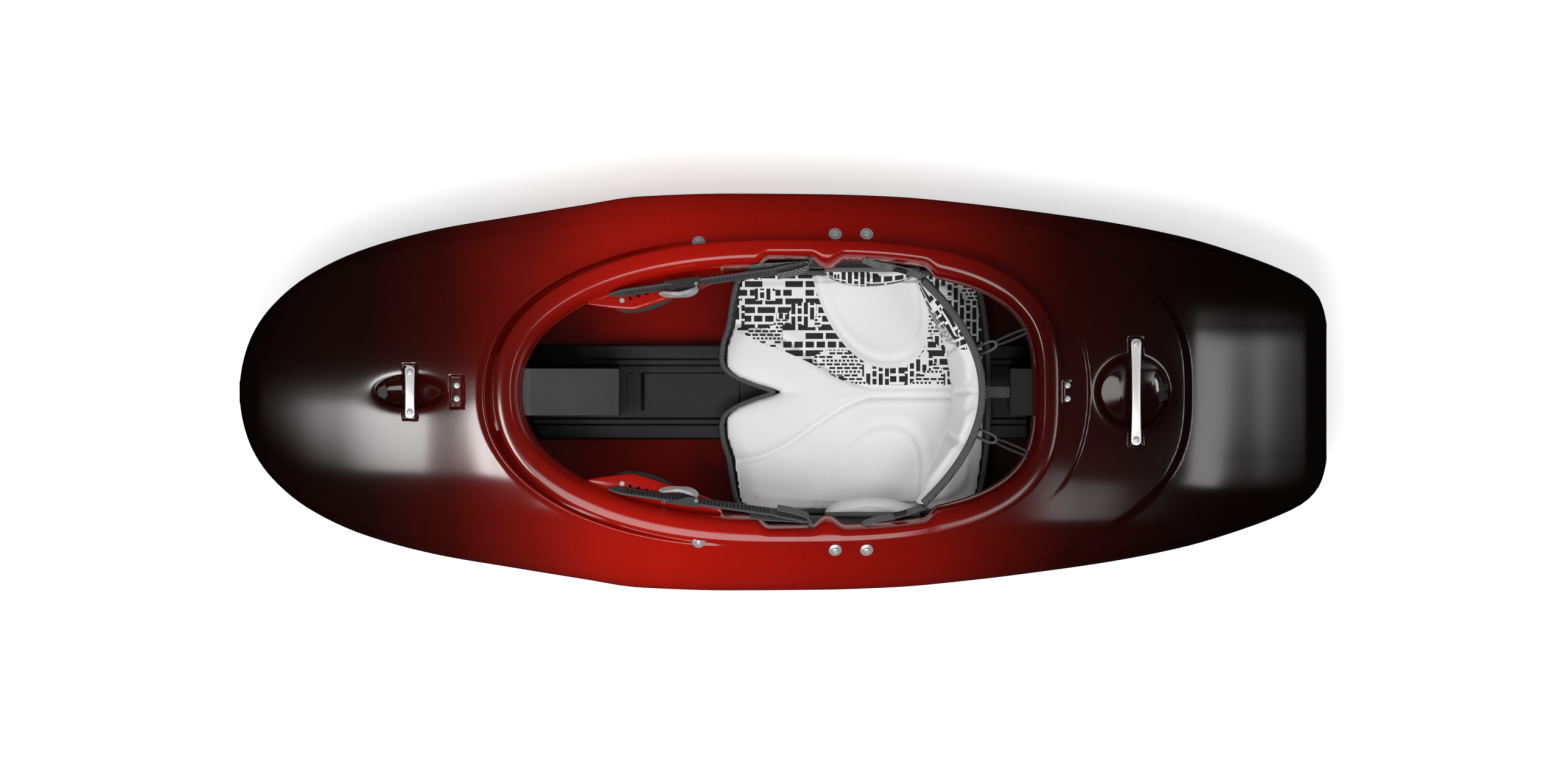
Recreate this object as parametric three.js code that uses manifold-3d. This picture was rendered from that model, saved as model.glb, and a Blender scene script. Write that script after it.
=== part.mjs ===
// A short freestyle kayak, with its seat, backband, thigh braces and straps.
// Sizes are in millimetres. The bow points along -X, the paddler's right side is +Y and up is +Z.
// The origin is on the ground under the middle of the hull.
import * as THREE from 'three';
import { mergeVertices } from 'three/addons/utils/BufferGeometryUtils.js';
import Module from 'manifold-3d';

const wasm = await Module();
wasm.setup();

// Fits that all pieces share
const seatGap = 0.3;
const runningGap = 1;
const overrun = 30;
const smallSides = 8;
const roundSides = 12;

// Hull shell
const hull = {
  length: 1820,
  beam: 666,
  wall: 6,
  deckHeight: 318,
  bowRocker: 196,
  sternRocker: 128,
  endRadius: 34,
  chineRadius: 26,
  stationPitch: 64,
};

// Cockpit coaming, measured inwards from the outer edge of its rim.
// The side deck is what the rim leaves of the hull's width at each side.
const sideDeck = 80;
const coaming = {
  centreX: -10,
  frontReach: 473,
  rearReach: 472,
  halfWidth: hull.beam / 2 - sideDeck,
  rise: 22,
  width: 46,
  innerDrop: 36,
  flange: 15,
  lip: 12,
  crown: 2,
  skin: 6,
  neckReach: 4,
  scoopDepth: 15,
  scoopBlend: 34,
};

// Lines that other places are measured from. What stands on the fore deck or the aft deck, or lies
// under it, keeps its share of that deck's length.
const bowX = -hull.length / 2;
const sternX = hull.length / 2;
const cockpitFront = coaming.centreX - coaming.frontReach;
const cockpitRear = coaming.centreX + coaming.rearReach;
const onForeDeck = (share) => bowX + (cockpitFront - bowX) * share;
const onAftDeck = (share) => cockpitRear + (sternX - cockpitRear) * share;

// How far pieces stay from the ends of the cockpit, from its sides and from the backband
const room = {
  beamFront: 58, beamRear: 53, pillarCut: 206, pillarOpen: 59, rearPillar: 83, rearScrews: 11,
  seatRear: 117, backband: 124, loopEnd: 54, rearSlot: 331, scoopRear: 248,
  shelfHole: 100.5, braceBolt: 3, seatSide: 52, earFoot: 5, flangeInner: 15, flangeOuter: 28,
  seatBolt: 11, backbandSide: 62, ladderWall: 6.66, ladderSlot: 11.85, hipPadFront: 271, hipPadRear: 109,
};

// The scoop that the webbing passes, at the inside of the coaming
const scoop = { frontX: -44, rearX: cockpitRear - room.scoopRear };

// The tail's step, behind an edge that sweeps forward at the sides
const tail = { edge: onAftDeck(0.462), sweep: 102, sweepWidth: 209, step: 8, blend: 30 };

// Thigh shelf, moulded inside the coaming at each side
const shelf = {
  frontX: -332,
  rearX: -104,
  thickness: 6,
  lift: 6,
  reach: 37,
  holeX: -270,
  holeY: coaming.halfWidth - room.shelfHole,
  holePitch: 14.3,
  holeCount: 5,
  holeRadius: 2.9,
  channelWidth: 4.6,
  rowAngle: 16,
};

// Grab handles: flat aluminium bars over a finger bowl
const bowHandle = {
  x: onForeDeck(0.6714), length: 88, width: 17, thickness: 7, arch: 3, waist: 1,
  bowlX: onForeDeck(0.6745), bowlLength: 116, bowlWidth: 56, bowlDepth: 24, screwInset: 11, pocketDepth: 3,
};
const sternHandle = {
  x: onAftDeck(0.28125), length: 178, width: 18, thickness: 7, arch: 5, waist: 2,
  bowlX: onAftDeck(0.27), bowlLength: 122, bowlWidth: 122, bowlDepth: 26, screwInset: 9, pocketDepth: 3,
};

// Fasteners
const screw = { headRadius: 5.5, headHeight: 3, shankRadius: 2.2, length: 20 };
const pillarScrew = { headRadius: 5.2, headHeight: 2.6, shankRadius: 2, length: 24 };
const bolt = {
  washerRadius: 11, washerThickness: 2.4, headRadius: 6, headHeight: 2.4, shankRadius: 3,
  nutRadius: 6.5, nutHeight: 4,
};
const holeClearance = 0.4;
const frontPocket = { x: onForeDeck(0.8548), length: 21, width: 54, depth: 5, screwOffset: 11 };
const rearScrews = { x: cockpitRear + room.rearScrews, screwOffset: 11.2 };
const braceBolt = { x: -142, y: coaming.halfWidth - room.braceBolt };

// Floor beam and foam pillars
const beam = {
  frontX: cockpitFront + room.beamFront, rearX: cockpitRear - room.beamRear,
  halfWidth: 80, top: 40, cornerCut: 34,
  ribY: 50, ribWidth: 14, ribHeight: 3,
  panelFrontX: -241, panelRearX: -76, panelHalfWidth: 31, panelRise: 6,
  humpX: -258, humpLength: 14, humpRise: 5,
};
const pillar = {
  halfWidth: 39, frontX: onForeDeck(0.328), cutX: cockpitFront + room.pillarCut, cutHeight: 168,
  openX: cockpitFront + room.pillarOpen, rearX: cockpitRear - room.rearPillar, sternX: onAftDeck(0.665),
};
const footBlock = { rearX: onForeDeck(0.726), length: 110, innerY: 50 };

// Seat, with room beside it for the straps
const seat = {
  frontX: -103, rearX: cockpitRear - room.seatRear, halfWidth: coaming.halfWidth - room.seatSide,
  notchX: -11,
  low: 80, lowX: 200, frontRise: 26, rearRise: 16, sideRise: 42,
  padThickness: 26, edgeThickness: 12, panThickness: 4, panInset: 5,
  channelDepth: 4, channelWidth: 16,
  travel: 20,
  railHalf: 60, railWidth: 14,
};
const seatEar = {
  frontX: 62, rearX: 166, thickness: 5, footY: seat.halfWidth + room.earFoot, lean: 3, knee: 196,
  flangeInnerY: coaming.halfWidth - room.flangeInner, flangeOuterY: coaming.halfWidth + room.flangeOuter,
};
const seatBolt = { frontX: 85.5, rearX: 138, y: coaming.halfWidth + room.seatBolt };

// Backband
const backband = {
  apexX: cockpitRear - room.backband, depth: 98, halfWidth: coaming.halfWidth - room.backbandSide,
  low: 116, high: 246, endLow: 200, endHigh: 240,
  lean: 0.3, shell: 4, padThickness: 20, edge: 7,
};
const hipPad = {
  frontX: backband.apexX - room.hipPadFront, rearX: backband.apexX - room.hipPadRear,
  low: 122, high: 192, thickness: 35,
};

// Ladder strap, measured along itself from the middle of its ratchet
const ladder = {
  ratchetX: -170, frontReach: 124, rearReach: 150, tailReach: 210,
  width: 20, backing: 2.2, toothHeight: 2.8, toothPitch: 6.4, tailAngle: 3, tilt: 30,
  slotLength: 10, rise: 13.3,
};
const ratchet = {
  length: 56, plate: 1.6, reach: 15, pinU: 22, pinRadius: 2,
  tabU: -27, tabLength: 16, tabWidth: 22, tabOffset: 4,
};
const lever = { length: 62, hubRadius: 4.8, thickness: 5, side: 2 };
const anchorBolt = { headRadius: 4.6, headHeight: 2.4, shankRadius: 2, length: 6.5 };

// Straps and their fittings
const webbing = {
  width: 19, thickness: 1.6, slotX: 45.5, rearSlotX: cockpitRear - room.rearSlot, slotSpare: 3, slotDrop: 17,
};
const keeper = { length: 20, height: 24, thickness: 3, share: 0.6 };
const hook = { length: 40, width: 15, rod: 3.4, y: backband.halfWidth * 0.3665, z: 214 };
const loop = {
  rod: 3.5, endX: cockpitRear - room.loopEnd, endY: coaming.halfWidth * 0.411, width: 8, lift: 14,
};
const rearStrap = { width: 20, thickness: 3 };

// Thigh brace, on the underside of its shelf
const brace = {
  length: 92, width: 26, thickness: 4, padThickness: 22, padLength: 112, padBulge: 12, padRound: 2,
};

// Hand-chosen curves of the hull: each pair is a share of the half length, bow to stern,
// and a share of the size that the curve is scaled by
const planShares = [
  [-1, 0], [-0.974, 0.303], [-0.941, 0.432], [-0.874, 0.586], [-0.773, 0.718], [-0.637, 0.82],
  [-0.503, 0.883], [-0.368, 0.943], [-0.267, 0.985], [-0.1, 1], [0.07, 0.997], [0.203, 0.985],
  [0.338, 0.952], [0.473, 0.907], [0.608, 0.853], [0.742, 0.778], [0.843, 0.694], [0.91, 0.625],
  [0.956, 0.562], [0.985, 0.48], [0.996, 0.4], [1, 0.34],
];
const keelShares = [
  [-1, 1], [-0.93, 0.83], [-0.82, 0.59], [-0.66, 0.31], [-0.49, 0.115], [-0.35, 0.02], [-0.28, 0],
  [0.28, 0], [0.38, 0.035], [0.55, 0.2], [0.71, 0.46], [0.88, 0.78], [1, 1],
];
const deckShares = [
  [-1, 0.75], [-0.93, 0.785], [-0.82, 0.832], [-0.66, 0.9], [-0.53, 0.96], [-0.36, 1], [0, 0.945],
  [0.22, 0.885], [0.45, 0.802], [0.55, 0.775], [0.66, 0.748], [0.75, 0.72], [0.88, 0.64], [1, 0.56],
];
const sheerShares = [[-1, 0.5], [-0.6, 0.47], [0, 0.44], [0.6, 0.42], [1, 0.46]];
const chineShares = [
  [-1, 0.6], [-0.8, 0.7], [-0.5, 0.8], [-0.2, 0.845], [0.3, 0.85], [0.7, 0.82], [1, 0.76],
];
const deckPowers = [[-1, 2.2], [-0.6, 2.3], [-0.45, 2.5], [0, 2.7], [0.4, 2.7], [0.65, 3], [1, 3.2]];
const frontPower = 2.24;
const rearPower = 3;
const tailPower = 2.8;
const tipShare = 0.0008;
const endShare = 0.02;
const thinShare = 0.1;

const halfLength = hull.length / 2;
const halfBeam = hull.beam / 2;

// A smooth curve through points whose first values rise; it never overshoots between two points
function curveThrough(points) {
  const count = points.length;
  const secants = [];
  for (let i = 0; i < count - 1; i++) {
    secants.push((points[i + 1][1] - points[i][1]) / (points[i + 1][0] - points[i][0]));
  }
  const slopes = [secants[0]];
  for (let i = 1; i < count - 1; i++) {
    const product = secants[i - 1] * secants[i];
    slopes.push(product > 0 ? 2 * product / (secants[i - 1] + secants[i]) : 0);
  }
  slopes.push(secants[count - 2]);
  return (at) => {
    const clamped = Math.min(Math.max(at, points[0][0]), points[count - 1][0]);
    let i = 0;
    while (i < count - 2 && clamped > points[i + 1][0]) i++;
    const span = points[i + 1][0] - points[i][0];
    const t = (clamped - points[i][0]) / span;
    const rise = t * t * (3 - 2 * t);
    const into = t * (1 - t) * (1 - t) * span * slopes[i];
    const outOf = t * t * (t - 1) * span * slopes[i + 1];
    return points[i][1] * (1 - rise) + points[i + 1][1] * rise + into + outOf;
  };
}

function smoothStep(t) {
  const clamped = Math.min(Math.max(t, 0), 1);
  return clamped * clamped * (3 - 2 * clamped);
}

const planSquare = curveThrough(planShares.map(([station, share]) => [station, share * share]));
const keelCurve = curveThrough(keelShares);
const deckCurve = curveThrough(deckShares);
const sheerCurve = curveThrough(sheerShares);
const chineCurve = curveThrough(chineShares);
const powerCurve = curveThrough(deckPowers);

// The sizes of the hull's section at x, drawn in by the inset all round
function sectionAt(x, inset = 0) {
  const station = Math.min(Math.max(x / halfLength, tipShare - 1), 1);
  const width = halfBeam * Math.sqrt(planSquare(station));
  const rocker = station < 0 ? hull.bowRocker : hull.sternRocker;
  const rawKeel = rocker * keelCurve(station);
  const rawDeck = hull.deckHeight * deckCurve(station);
  const fromEnd = Math.max(halfLength - Math.abs(x), hull.endRadius * endShare);
  const turn = Math.max(1 - fromEnd / hull.endRadius, 0);
  const half = (rawDeck - rawKeel) / 2 * Math.sqrt(1 - turn * turn);
  const middle = (rawDeck + rawKeel) / 2;
  const thin = Math.max(half - inset, half * thinShare);
  const keel = middle - thin;
  const deck = middle + thin;
  const halfWidth = Math.max(width - inset, width * thinShare);
  const sheer = keel + (deck - keel) * sheerCurve(station);
  const chine = halfWidth * chineCurve(station);
  return { halfWidth, keel, deck, sheer, chine, power: powerCurve(station) };
}

// The tail lies a small step below the rear deck, behind a swept edge
function tailDrop(x, y) {
  const edge = tail.edge - tail.sweep * (Math.abs(y) / tail.sweepWidth) ** tailPower;
  return tail.step * smoothStep((x - edge) / tail.blend);
}

// Height of the deck over a point of the plan
function deckHeightAt(x, y, inset = 0) {
  const form = sectionAt(x, inset);
  const across = Math.min(Math.abs(y) / form.halfWidth, 1);
  const rise = (1 - across ** form.power) ** (1 / form.power);
  return form.sheer + (form.deck - form.sheer - tailDrop(x, y)) * rise;
}

// Outward direction of the deck over a point of the plan
function deckNormal(x, y) {
  const probe = hull.chineRadius;
  const alongX = deckHeightAt(x + probe / 2, y) - deckHeightAt(x - probe / 2, y);
  const alongY = deckHeightAt(x, y + probe / 2) - deckHeightAt(x, y - probe / 2);
  return new THREE.Vector3(-alongX, -alongY, probe).normalize();
}

// Half of a section, from the keel out to the sheer and up to the crown of the deck
const bottomShares = [0, 0.5, 1];
const deckTurns = [15, 30, 45, 60, 75, 90];
function halfSection(x, inset) {
  const form = sectionAt(x, inset);
  const flare = new THREE.Vector2(form.halfWidth - form.chine, form.sheer - form.keel);
  const round = Math.min(hull.chineRadius, flare.length() / 2, form.chine / 2);
  const corner = new THREE.Vector2(form.chine, form.keel);
  const before = new THREE.Vector2(form.chine - round, form.keel);
  const after = corner.clone().addScaledVector(flare.clone().normalize(), round);
  const turn = new THREE.QuadraticBezierCurve(before, corner, after);
  const points = bottomShares.map((share) => new THREE.Vector2(before.x * share, form.keel));
  points.push(turn.getPoint(0.5), after, new THREE.Vector2(form.halfWidth, form.sheer));
  for (const degrees of deckTurns) {
    const angle = THREE.MathUtils.degToRad(degrees);
    const y = degrees === 90 ? 0 : form.halfWidth * Math.cos(angle) ** (2 / form.power);
    const rise = Math.sin(angle) ** (2 / form.power);
    const drop = tailDrop(x, y);
    points.push(new THREE.Vector2(y, form.sheer + (form.deck - form.sheer - drop) * rise));
  }
  return points;
}

// Stations along the hull, close together at its rounded ends
function hullStations() {
  const endTurns = [0, 26, 50, 72];
  const ends = endTurns.map((degrees) => hull.endRadius * (1 - Math.cos(THREE.MathUtils.degToRad(degrees))));
  const between = hull.length - 2 * hull.endRadius;
  const bays = Math.round(between / hull.stationPitch);
  const stations = ends.map((end) => end - halfLength);
  for (let i = 0; i <= bays; i++) stations.push(hull.endRadius - halfLength + between * i / bays);
  ends.reverse().forEach((end) => stations.push(halfLength - end));
  return stations;
}

// Joins rings of points, each the same count, into one closed skin.
// From the turn on, its faces are split along their other diagonal, so a symmetric form stays symmetric.
function skin(rings, closed = false, turn = rings[0].length, capStart = 0) {
  const count = rings[0].length;
  const positions = rings.flat().flatMap((point) => [point.x, point.y, point.z]);
  const indices = [];
  const bands = closed ? rings.length : rings.length - 1;
  for (let i = 0; i < bands; i++) {
    const here = i * count;
    const next = ((i + 1) % rings.length) * count;
    for (let j = 0; j < count; j++) {
      const k = (j + 1) % count;
      if (j < turn) indices.push(here + j, here + k, next + k, here + j, next + k, next + j);
      else indices.push(here + j, here + k, next + j, here + k, next + k, next + j);
    }
  }
  if (!closed) {
    const last = (rings.length - 1) * count;
    for (const corners of capOf(count)) {
      const [a, b, c] = corners.map((corner) => (corner + capStart) % count);
      indices.push(a, c, b, last + a, last + b, last + c);
    }
  }
  const geometry = new THREE.BufferGeometry();
  geometry.setAttribute('position', new THREE.Float32BufferAttribute(positions, 3));
  geometry.setIndex(indices);
  return geometry;
}

// Triangles that close one ring: a zigzag between its two sides, in the ring's own order
function capOf(count) {
  const faces = [];
  let low = 0;
  let high = count - 1;
  while (high - low > 1) {
    faces.push([low, low + 1, high]);
    low++;
    if (high - low > 1) faces.push([low, high - 1, high]);
    high--;
  }
  return faces;
}

// Turns a geometry inside out if its faces point inwards
function facingOut(geometry) {
  const position = geometry.getAttribute('position');
  const index = geometry.getIndex().array;
  const corners = [new THREE.Vector3(), new THREE.Vector3(), new THREE.Vector3()];
  let volume = 0;
  for (let i = 0; i < index.length; i += 3) {
    corners.forEach((corner, k) => corner.fromBufferAttribute(position, index[i + k]));
    volume += corners[0].dot(corners[1].cross(corners[2]));
  }
  if (volume < 0) {
    for (let i = 0; i < index.length; i += 3) [index[i + 1], index[i + 2]] = [index[i + 2], index[i + 1]];
  }
  return geometry;
}

function closedForm(geometry) {
  const bare = geometry.clone();
  bare.deleteAttribute('normal');
  bare.deleteAttribute('uv');
  return facingOut(mergeVertices(bare));
}

// Boolean joins and cuts
function solid(geometry) {
  const form = closedForm(geometry);
  const vertProperties = new Float32Array(form.getAttribute('position').array);
  const triVerts = new Uint32Array(form.getIndex().array);
  return new wasm.Manifold(new wasm.Mesh({ numProp: 3, vertProperties, triVerts }));
}

function geometryOf(manifold) {
  const mesh = manifold.getMesh();
  const geometry = new THREE.BufferGeometry();
  geometry.setAttribute('position', new THREE.BufferAttribute(new Float32Array(mesh.vertProperties), 3));
  geometry.setIndex(new THREE.BufferAttribute(new Uint32Array(mesh.triVerts), 1));
  return geometry;
}

function joined(...geometries) {
  return geometryOf(geometries.map(solid).reduce((sum, next) => sum.add(next)));
}

function cut(geometry, ...cutters) {
  return geometryOf(cutters.map(solid).reduce((left, cutter) => left.subtract(cutter), solid(geometry)));
}

function common(first, ...others) {
  return geometryOf(others.map(solid).reduce((kept, next) => kept.intersect(next), solid(first)));
}

// Simple forms
function box(low, high) {
  const size = high.map((value, i) => value - low[i]);
  const geometry = new THREE.BoxGeometry(...size);
  return geometry.translate(...low.map((value, i) => value + size[i] / 2));
}

function extruded(points, depth) {
  const shape = new THREE.Shape(points.map(([u, v]) => new THREE.Vector2(u, v)));
  return new THREE.ExtrudeGeometry(shape, { depth, bevelEnabled: false });
}

// A plan outline between two heights
function slab(points, low, high) {
  return extruded(points, high - low).translate(0, 0, low);
}

// A side outline of x and z pairs, between two values of y
function sideSlab(points, low, high) {
  return extruded(points, high - low).rotateX(Math.PI / 2).translate(0, high, 0);
}

// A cross outline of y and z pairs, between two values of x
function crossSlab(points, low, high) {
  const turn = new THREE.Matrix4().makeBasis(
    new THREE.Vector3(0, 1, 0), new THREE.Vector3(0, 0, 1), new THREE.Vector3(1, 0, 0));
  return extruded(points, high - low).applyMatrix4(turn).translate(low, 0, 0);
}

// A round form on the Z axis from pairs of radius and height
function turned(pairs, sides = roundSides) {
  return new THREE.LatheGeometry(pairs.map(([radius, height]) => new THREE.Vector2(radius, height)), sides)
    .rotateX(Math.PI / 2);
}

function rod(radius, low, high, sides = smallSides) {
  return turned([[0, low], [radius, low], [radius, high], [0, high]], sides);
}

// Places a form built on the Z axis at a point, along a direction
function along(geometry, point, direction) {
  const turn = new THREE.Quaternion().setFromUnitVectors(new THREE.Vector3(0, 0, 1), direction);
  return geometry.applyQuaternion(turn).translate(point.x, point.y, point.z);
}

function mirrored(geometry) {
  const copy = closedForm(geometry);
  copy.applyMatrix4(new THREE.Matrix4().makeScale(1, -1, 1));
  return facingOut(copy);
}

// A flat ribbon through points, standing on edge with its width along Z
function ribbon(points, width, thickness) {
  const outline = points.map(([x, y]) => new THREE.Vector2(x, y));
  const rings = points.map((point, i) => {
    const before = outline[Math.max(i - 1, 0)];
    const after = outline[Math.min(i + 1, outline.length - 1)];
    const side = new THREE.Vector2(before.y - after.y, after.x - before.x).normalize();
    const offset = side.multiplyScalar(thickness / 2);
    const centre = new THREE.Vector3(...point);
    const corners = [[-1, -1], [1, -1], [1, 1], [-1, 1]];
    return corners.map(([across, up]) => new THREE.Vector3(
      centre.x + offset.x * across, centre.y + offset.y * across, centre.z + width / 2 * up));
  });
  return skin(rings);
}

// The hull's form drawn in by an inset: its outer skin, the inside of its wall, or what lies in it
function hullForm(inset) {
  const scale = (halfLength - inset) / halfLength;
  let turn = 0;
  const rings = hullStations().map((x) => {
    const half = halfSection(x, inset);
    const other = half.slice(1, -1).reverse();
    const right = half.map((point) => new THREE.Vector3(x * scale, point.x, point.y));
    const left = other.map((point) => new THREE.Vector3(x * scale, -point.x, point.y));
    turn = half.length - 1;
    return [...right, ...left];
  });
  return skin(rings, false, turn, turn - deckTurns.length);
}

// Coaming: a point of the rim's outline at an angle, moved inwards
function rimPoint(angle, inward = 0) {
  const cosine = Math.cos(angle);
  const sine = Math.sin(angle);
  const front = cosine < 0;
  const power = front ? frontPower : rearPower;
  const reach = front ? coaming.frontReach : coaming.rearReach;
  const dx = reach * Math.sign(cosine) * Math.abs(cosine) ** (2 / power);
  const dy = coaming.halfWidth * Math.sign(sine) * Math.abs(sine) ** (2 / power);
  const slope = new THREE.Vector2(
    Math.sign(dx) * (Math.abs(dx) / reach) ** (power - 1) / reach,
    Math.sign(dy) * (Math.abs(dy) / coaming.halfWidth) ** (power - 1) / coaming.halfWidth).normalize();
  return new THREE.Vector2(coaming.centreX + dx, dy).addScaledVector(slope, -inward);
}

function rimHeight(angle) {
  const neck = rimPoint(angle, coaming.flange);
  return deckHeightAt(neck.x, neck.y) + coaming.rise;
}

// The angle of the rim's outline at x, on the right side
function rimAngleAt(x) {
  let low = 0;
  let high = Math.PI;
  const halvings = 40;
  for (let i = 0; i < halvings; i++) {
    const middle = (low + high) / 2;
    if (rimPoint(middle).x > x) low = middle;
    else high = middle;
  }
  return low;
}

// A scoop at each side makes room for the webbing at the inside of the coaming
function scoopAt(x) {
  const middle = (scoop.frontX + scoop.rearX) / 2;
  const flat = (scoop.rearX - scoop.frontX) / 2;
  return coaming.scoopDepth * (1 - smoothStep((Math.abs(x - middle) - flat) / coaming.scoopBlend));
}

const rimSteps = 64;
const rimProfileShares = [[0.52, 0], [0.72, 0.08], [0.9, 0.4], [1, 1]];
function rimProfile(x) {
  const { flange, lip, crown, skin: thick, innerDrop, neckReach, rise } = coaming;
  const width = coaming.width - scoopAt(x);
  const foot = -(rise + hull.wall + neckReach);
  const slopeShares = rimProfileShares.slice(1);
  const outside = slopeShares.map(([across, down]) => [width * across, crown - innerDrop * down]);
  const inside = outside.map(([inward, up]) => [inward - thick, up - thick / 3]);
  const back = inside.slice(0, -1).reverse();
  return [
    [flange, foot], [flange, -lip], [0, -lip + crown], [0, -crown], [crown * 2, 0],
    [width * rimProfileShares[0][0], crown], ...outside,
    [width - thick, crown - innerDrop], ...back, [flange + thick, -lip - crown], [flange + thick, foot],
  ];
}

function coamingRing() {
  const rings = [];
  for (let i = 0; i < rimSteps; i++) {
    const angle = 2 * Math.PI * i / rimSteps;
    const height = rimHeight(angle);
    const base = rimPoint(angle);
    rings.push(rimProfile(base.x).map(([inward, up]) => {
      const point = rimPoint(angle, inward);
      return new THREE.Vector3(point.x, point.y, height + up);
    }));
  }
  return skin(rings, true);
}

function cockpitOpening(inward, low, high) {
  const outline = [];
  for (let i = 0; i < rimSteps; i++) {
    const point = rimPoint(2 * Math.PI * i / rimSteps, inward);
    outline.push([point.x, point.y]);
  }
  return slab(outline, low, high);
}

// The thigh shelf's top is a plane that falls towards the stern with the rim
function shelfLevelAt(x) {
  return rimHeight(rimAngleAt(x)) - coaming.innerDrop + shelf.lift;
}
const shelfSlope = (shelfLevelAt(shelf.rearX) - shelfLevelAt(shelf.frontX)) / (shelf.rearX - shelf.frontX);
function shelfHeight(x) {
  return shelfLevelAt(shelf.frontX) + shelfSlope * (x - shelf.frontX);
}
const shelfNormal = new THREE.Vector3(-shelfSlope, 0, 1).normalize();

const shelfEdgeShares = [
  [0, 0.05], [0.1, 0.5], [0.2, 0.78], [0.3, 0.95], [0.4, 1],
  [0.55, 0.92], [0.7, 0.74], [0.85, 0.46], [1, 0.1],
];
function thighShelf() {
  const rings = shelfEdgeShares.map(([station, share]) => {
    const x = shelf.frontX + (shelf.rearX - shelf.frontX) * station;
    const wallY = rimPoint(rimAngleAt(x), coaming.width).y;
    const outer = wallY + coaming.skin;
    const inner = wallY - shelf.reach * share;
    const top = shelfHeight(x);
    const low = top - shelf.thickness;
    const corners = [[inner, low], [outer, low], [outer, top], [inner, top]];
    return corners.map(([y, z]) => new THREE.Vector3(x, y, z));
  });
  return skin(rings);
}

// Row of holes for the brace screw
const rowDirection = new THREE.Vector3(
  Math.cos(THREE.MathUtils.degToRad(shelf.rowAngle)), Math.sin(THREE.MathUtils.degToRad(shelf.rowAngle)), 0);
rowDirection.z = shelfSlope * rowDirection.x;
rowDirection.normalize();
function holePoint(number) {
  const start = new THREE.Vector3(shelf.holeX, shelf.holeY, shelfHeight(shelf.holeX));
  return start.addScaledVector(rowDirection, shelf.holePitch * number);
}

function shelfHoles() {
  const cutters = [];
  for (let i = 0; i < shelf.holeCount; i++) {
    cutters.push(along(rod(shelf.holeRadius, -overrun, overrun), holePoint(i), shelfNormal));
  }
  const across = new THREE.Vector3().crossVectors(shelfNormal, rowDirection);
  const frame = new THREE.Matrix4().makeBasis(rowDirection, across, shelfNormal);
  frame.setPosition(holePoint(0));
  const half = shelf.channelWidth / 2;
  const travel = shelf.holePitch * (shelf.holeCount - 1);
  cutters.push(box([0, -half, -overrun], [travel, half, overrun]).applyMatrix4(frame));
  return cutters;
}

// Ellipsoid bowls under the handles
function bowl(handle, grow) {
  const level = deckHeightAt(handle.bowlX, 0);
  const geometry = new THREE.SphereGeometry(1, 20, 12);
  geometry.scale(handle.bowlLength / 2 + grow, handle.bowlWidth / 2 + grow, handle.bowlDepth + grow);
  return geometry.translate(handle.bowlX, 0, level);
}

function handlePadHeight(handle) {
  return deckHeightAt(handle.x, handle.length / 2) - handle.pocketDepth;
}

function handlePocket(handle, grow) {
  const halfX = handle.width / 2 + runningGap + grow;
  const halfY = handle.length / 2 + runningGap + grow;
  const low = handlePadHeight(handle) - grow;
  return box([handle.x - halfX, -halfY, low], [handle.x + halfX, halfY, hull.deckHeight]);
}

function pocket(grow) {
  const { x, length, width, depth } = frontPocket;
  const halfX = length / 2 + grow;
  const halfY = width / 2 + grow;
  const low = deckHeightAt(x, width / 2) - depth - grow;
  return box([x - halfX, -halfY, low], [x + halfX, halfY, hull.deckHeight]);
}

// Places where a bolt or a screw stands on the deck
function deckSpot(x, y) {
  const direction = deckNormal(x, y);
  const point = new THREE.Vector3(x, y, deckHeightAt(x, y));
  return { point, direction };
}

function washerSeat(spot) {
  const depth = runningGap;
  return along(rod(bolt.washerRadius + runningGap, -depth, overrun, roundSides), spot.point, spot.direction);
}

function boltHole(spot) {
  return along(rod(bolt.shankRadius + holeClearance, -overrun, overrun), spot.point, spot.direction);
}

const bothSides = [['right', 1], ['left', -1]];
const seatBoltSpots = [['front', seatBolt.frontX], ['rear', seatBolt.rearX]];

function screwHole(x, y, radius) {
  return rod(radius + holeClearance, 0, hull.deckHeight + overrun).translate(x, y, 0);
}

// A cut from above the floor, so a screw's hole stays out of the bottom
function deckHole(x, y, radius) {
  const low = sectionAt(x).sheer;
  return rod(radius + holeClearance, low, hull.deckHeight + overrun).translate(x, y, 0);
}

// The middle of a webbing slot, where it opens in the inside of the coaming
function slotPoint(x) {
  const angle = rimAngleAt(x);
  const wall = rimPoint(angle, coaming.width - scoopAt(x));
  return new THREE.Vector3(x, wall.y, rimHeight(angle) - webbing.slotDrop);
}

function slotCutter(x) {
  const { y, z } = slotPoint(x);
  const half = (webbing.thickness + webbing.slotSpare) / 2;
  const high = webbing.width / 2 + webbing.slotSpare / 2;
  return box([x - half, y - coaming.skin, z - high], [x + half, y + coaming.skin * 2, z + high]);
}

function loopHeight() {
  return rimHeight(0) - coaming.innerDrop + loop.lift;
}

function loopHole() {
  const { endX, endY, width, rod: thickness } = loop;
  const half = width / 2 + thickness * 2;
  const low = loopHeight() - thickness * 2;
  const high = loopHeight() + thickness * 2;
  return box([endX - overrun, endY - half, low], [endX + half, endY + half, high]);
}

// The hull's form with the dents of its deck, drawn in by the inset
function dentedForm(inset) {
  const dents = (handle) => [bowl(handle, inset), handlePocket(handle, inset)];
  return cut(hullForm(inset), ...dents(bowHandle), ...dents(sternHandle), pocket(inset));
}

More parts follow.
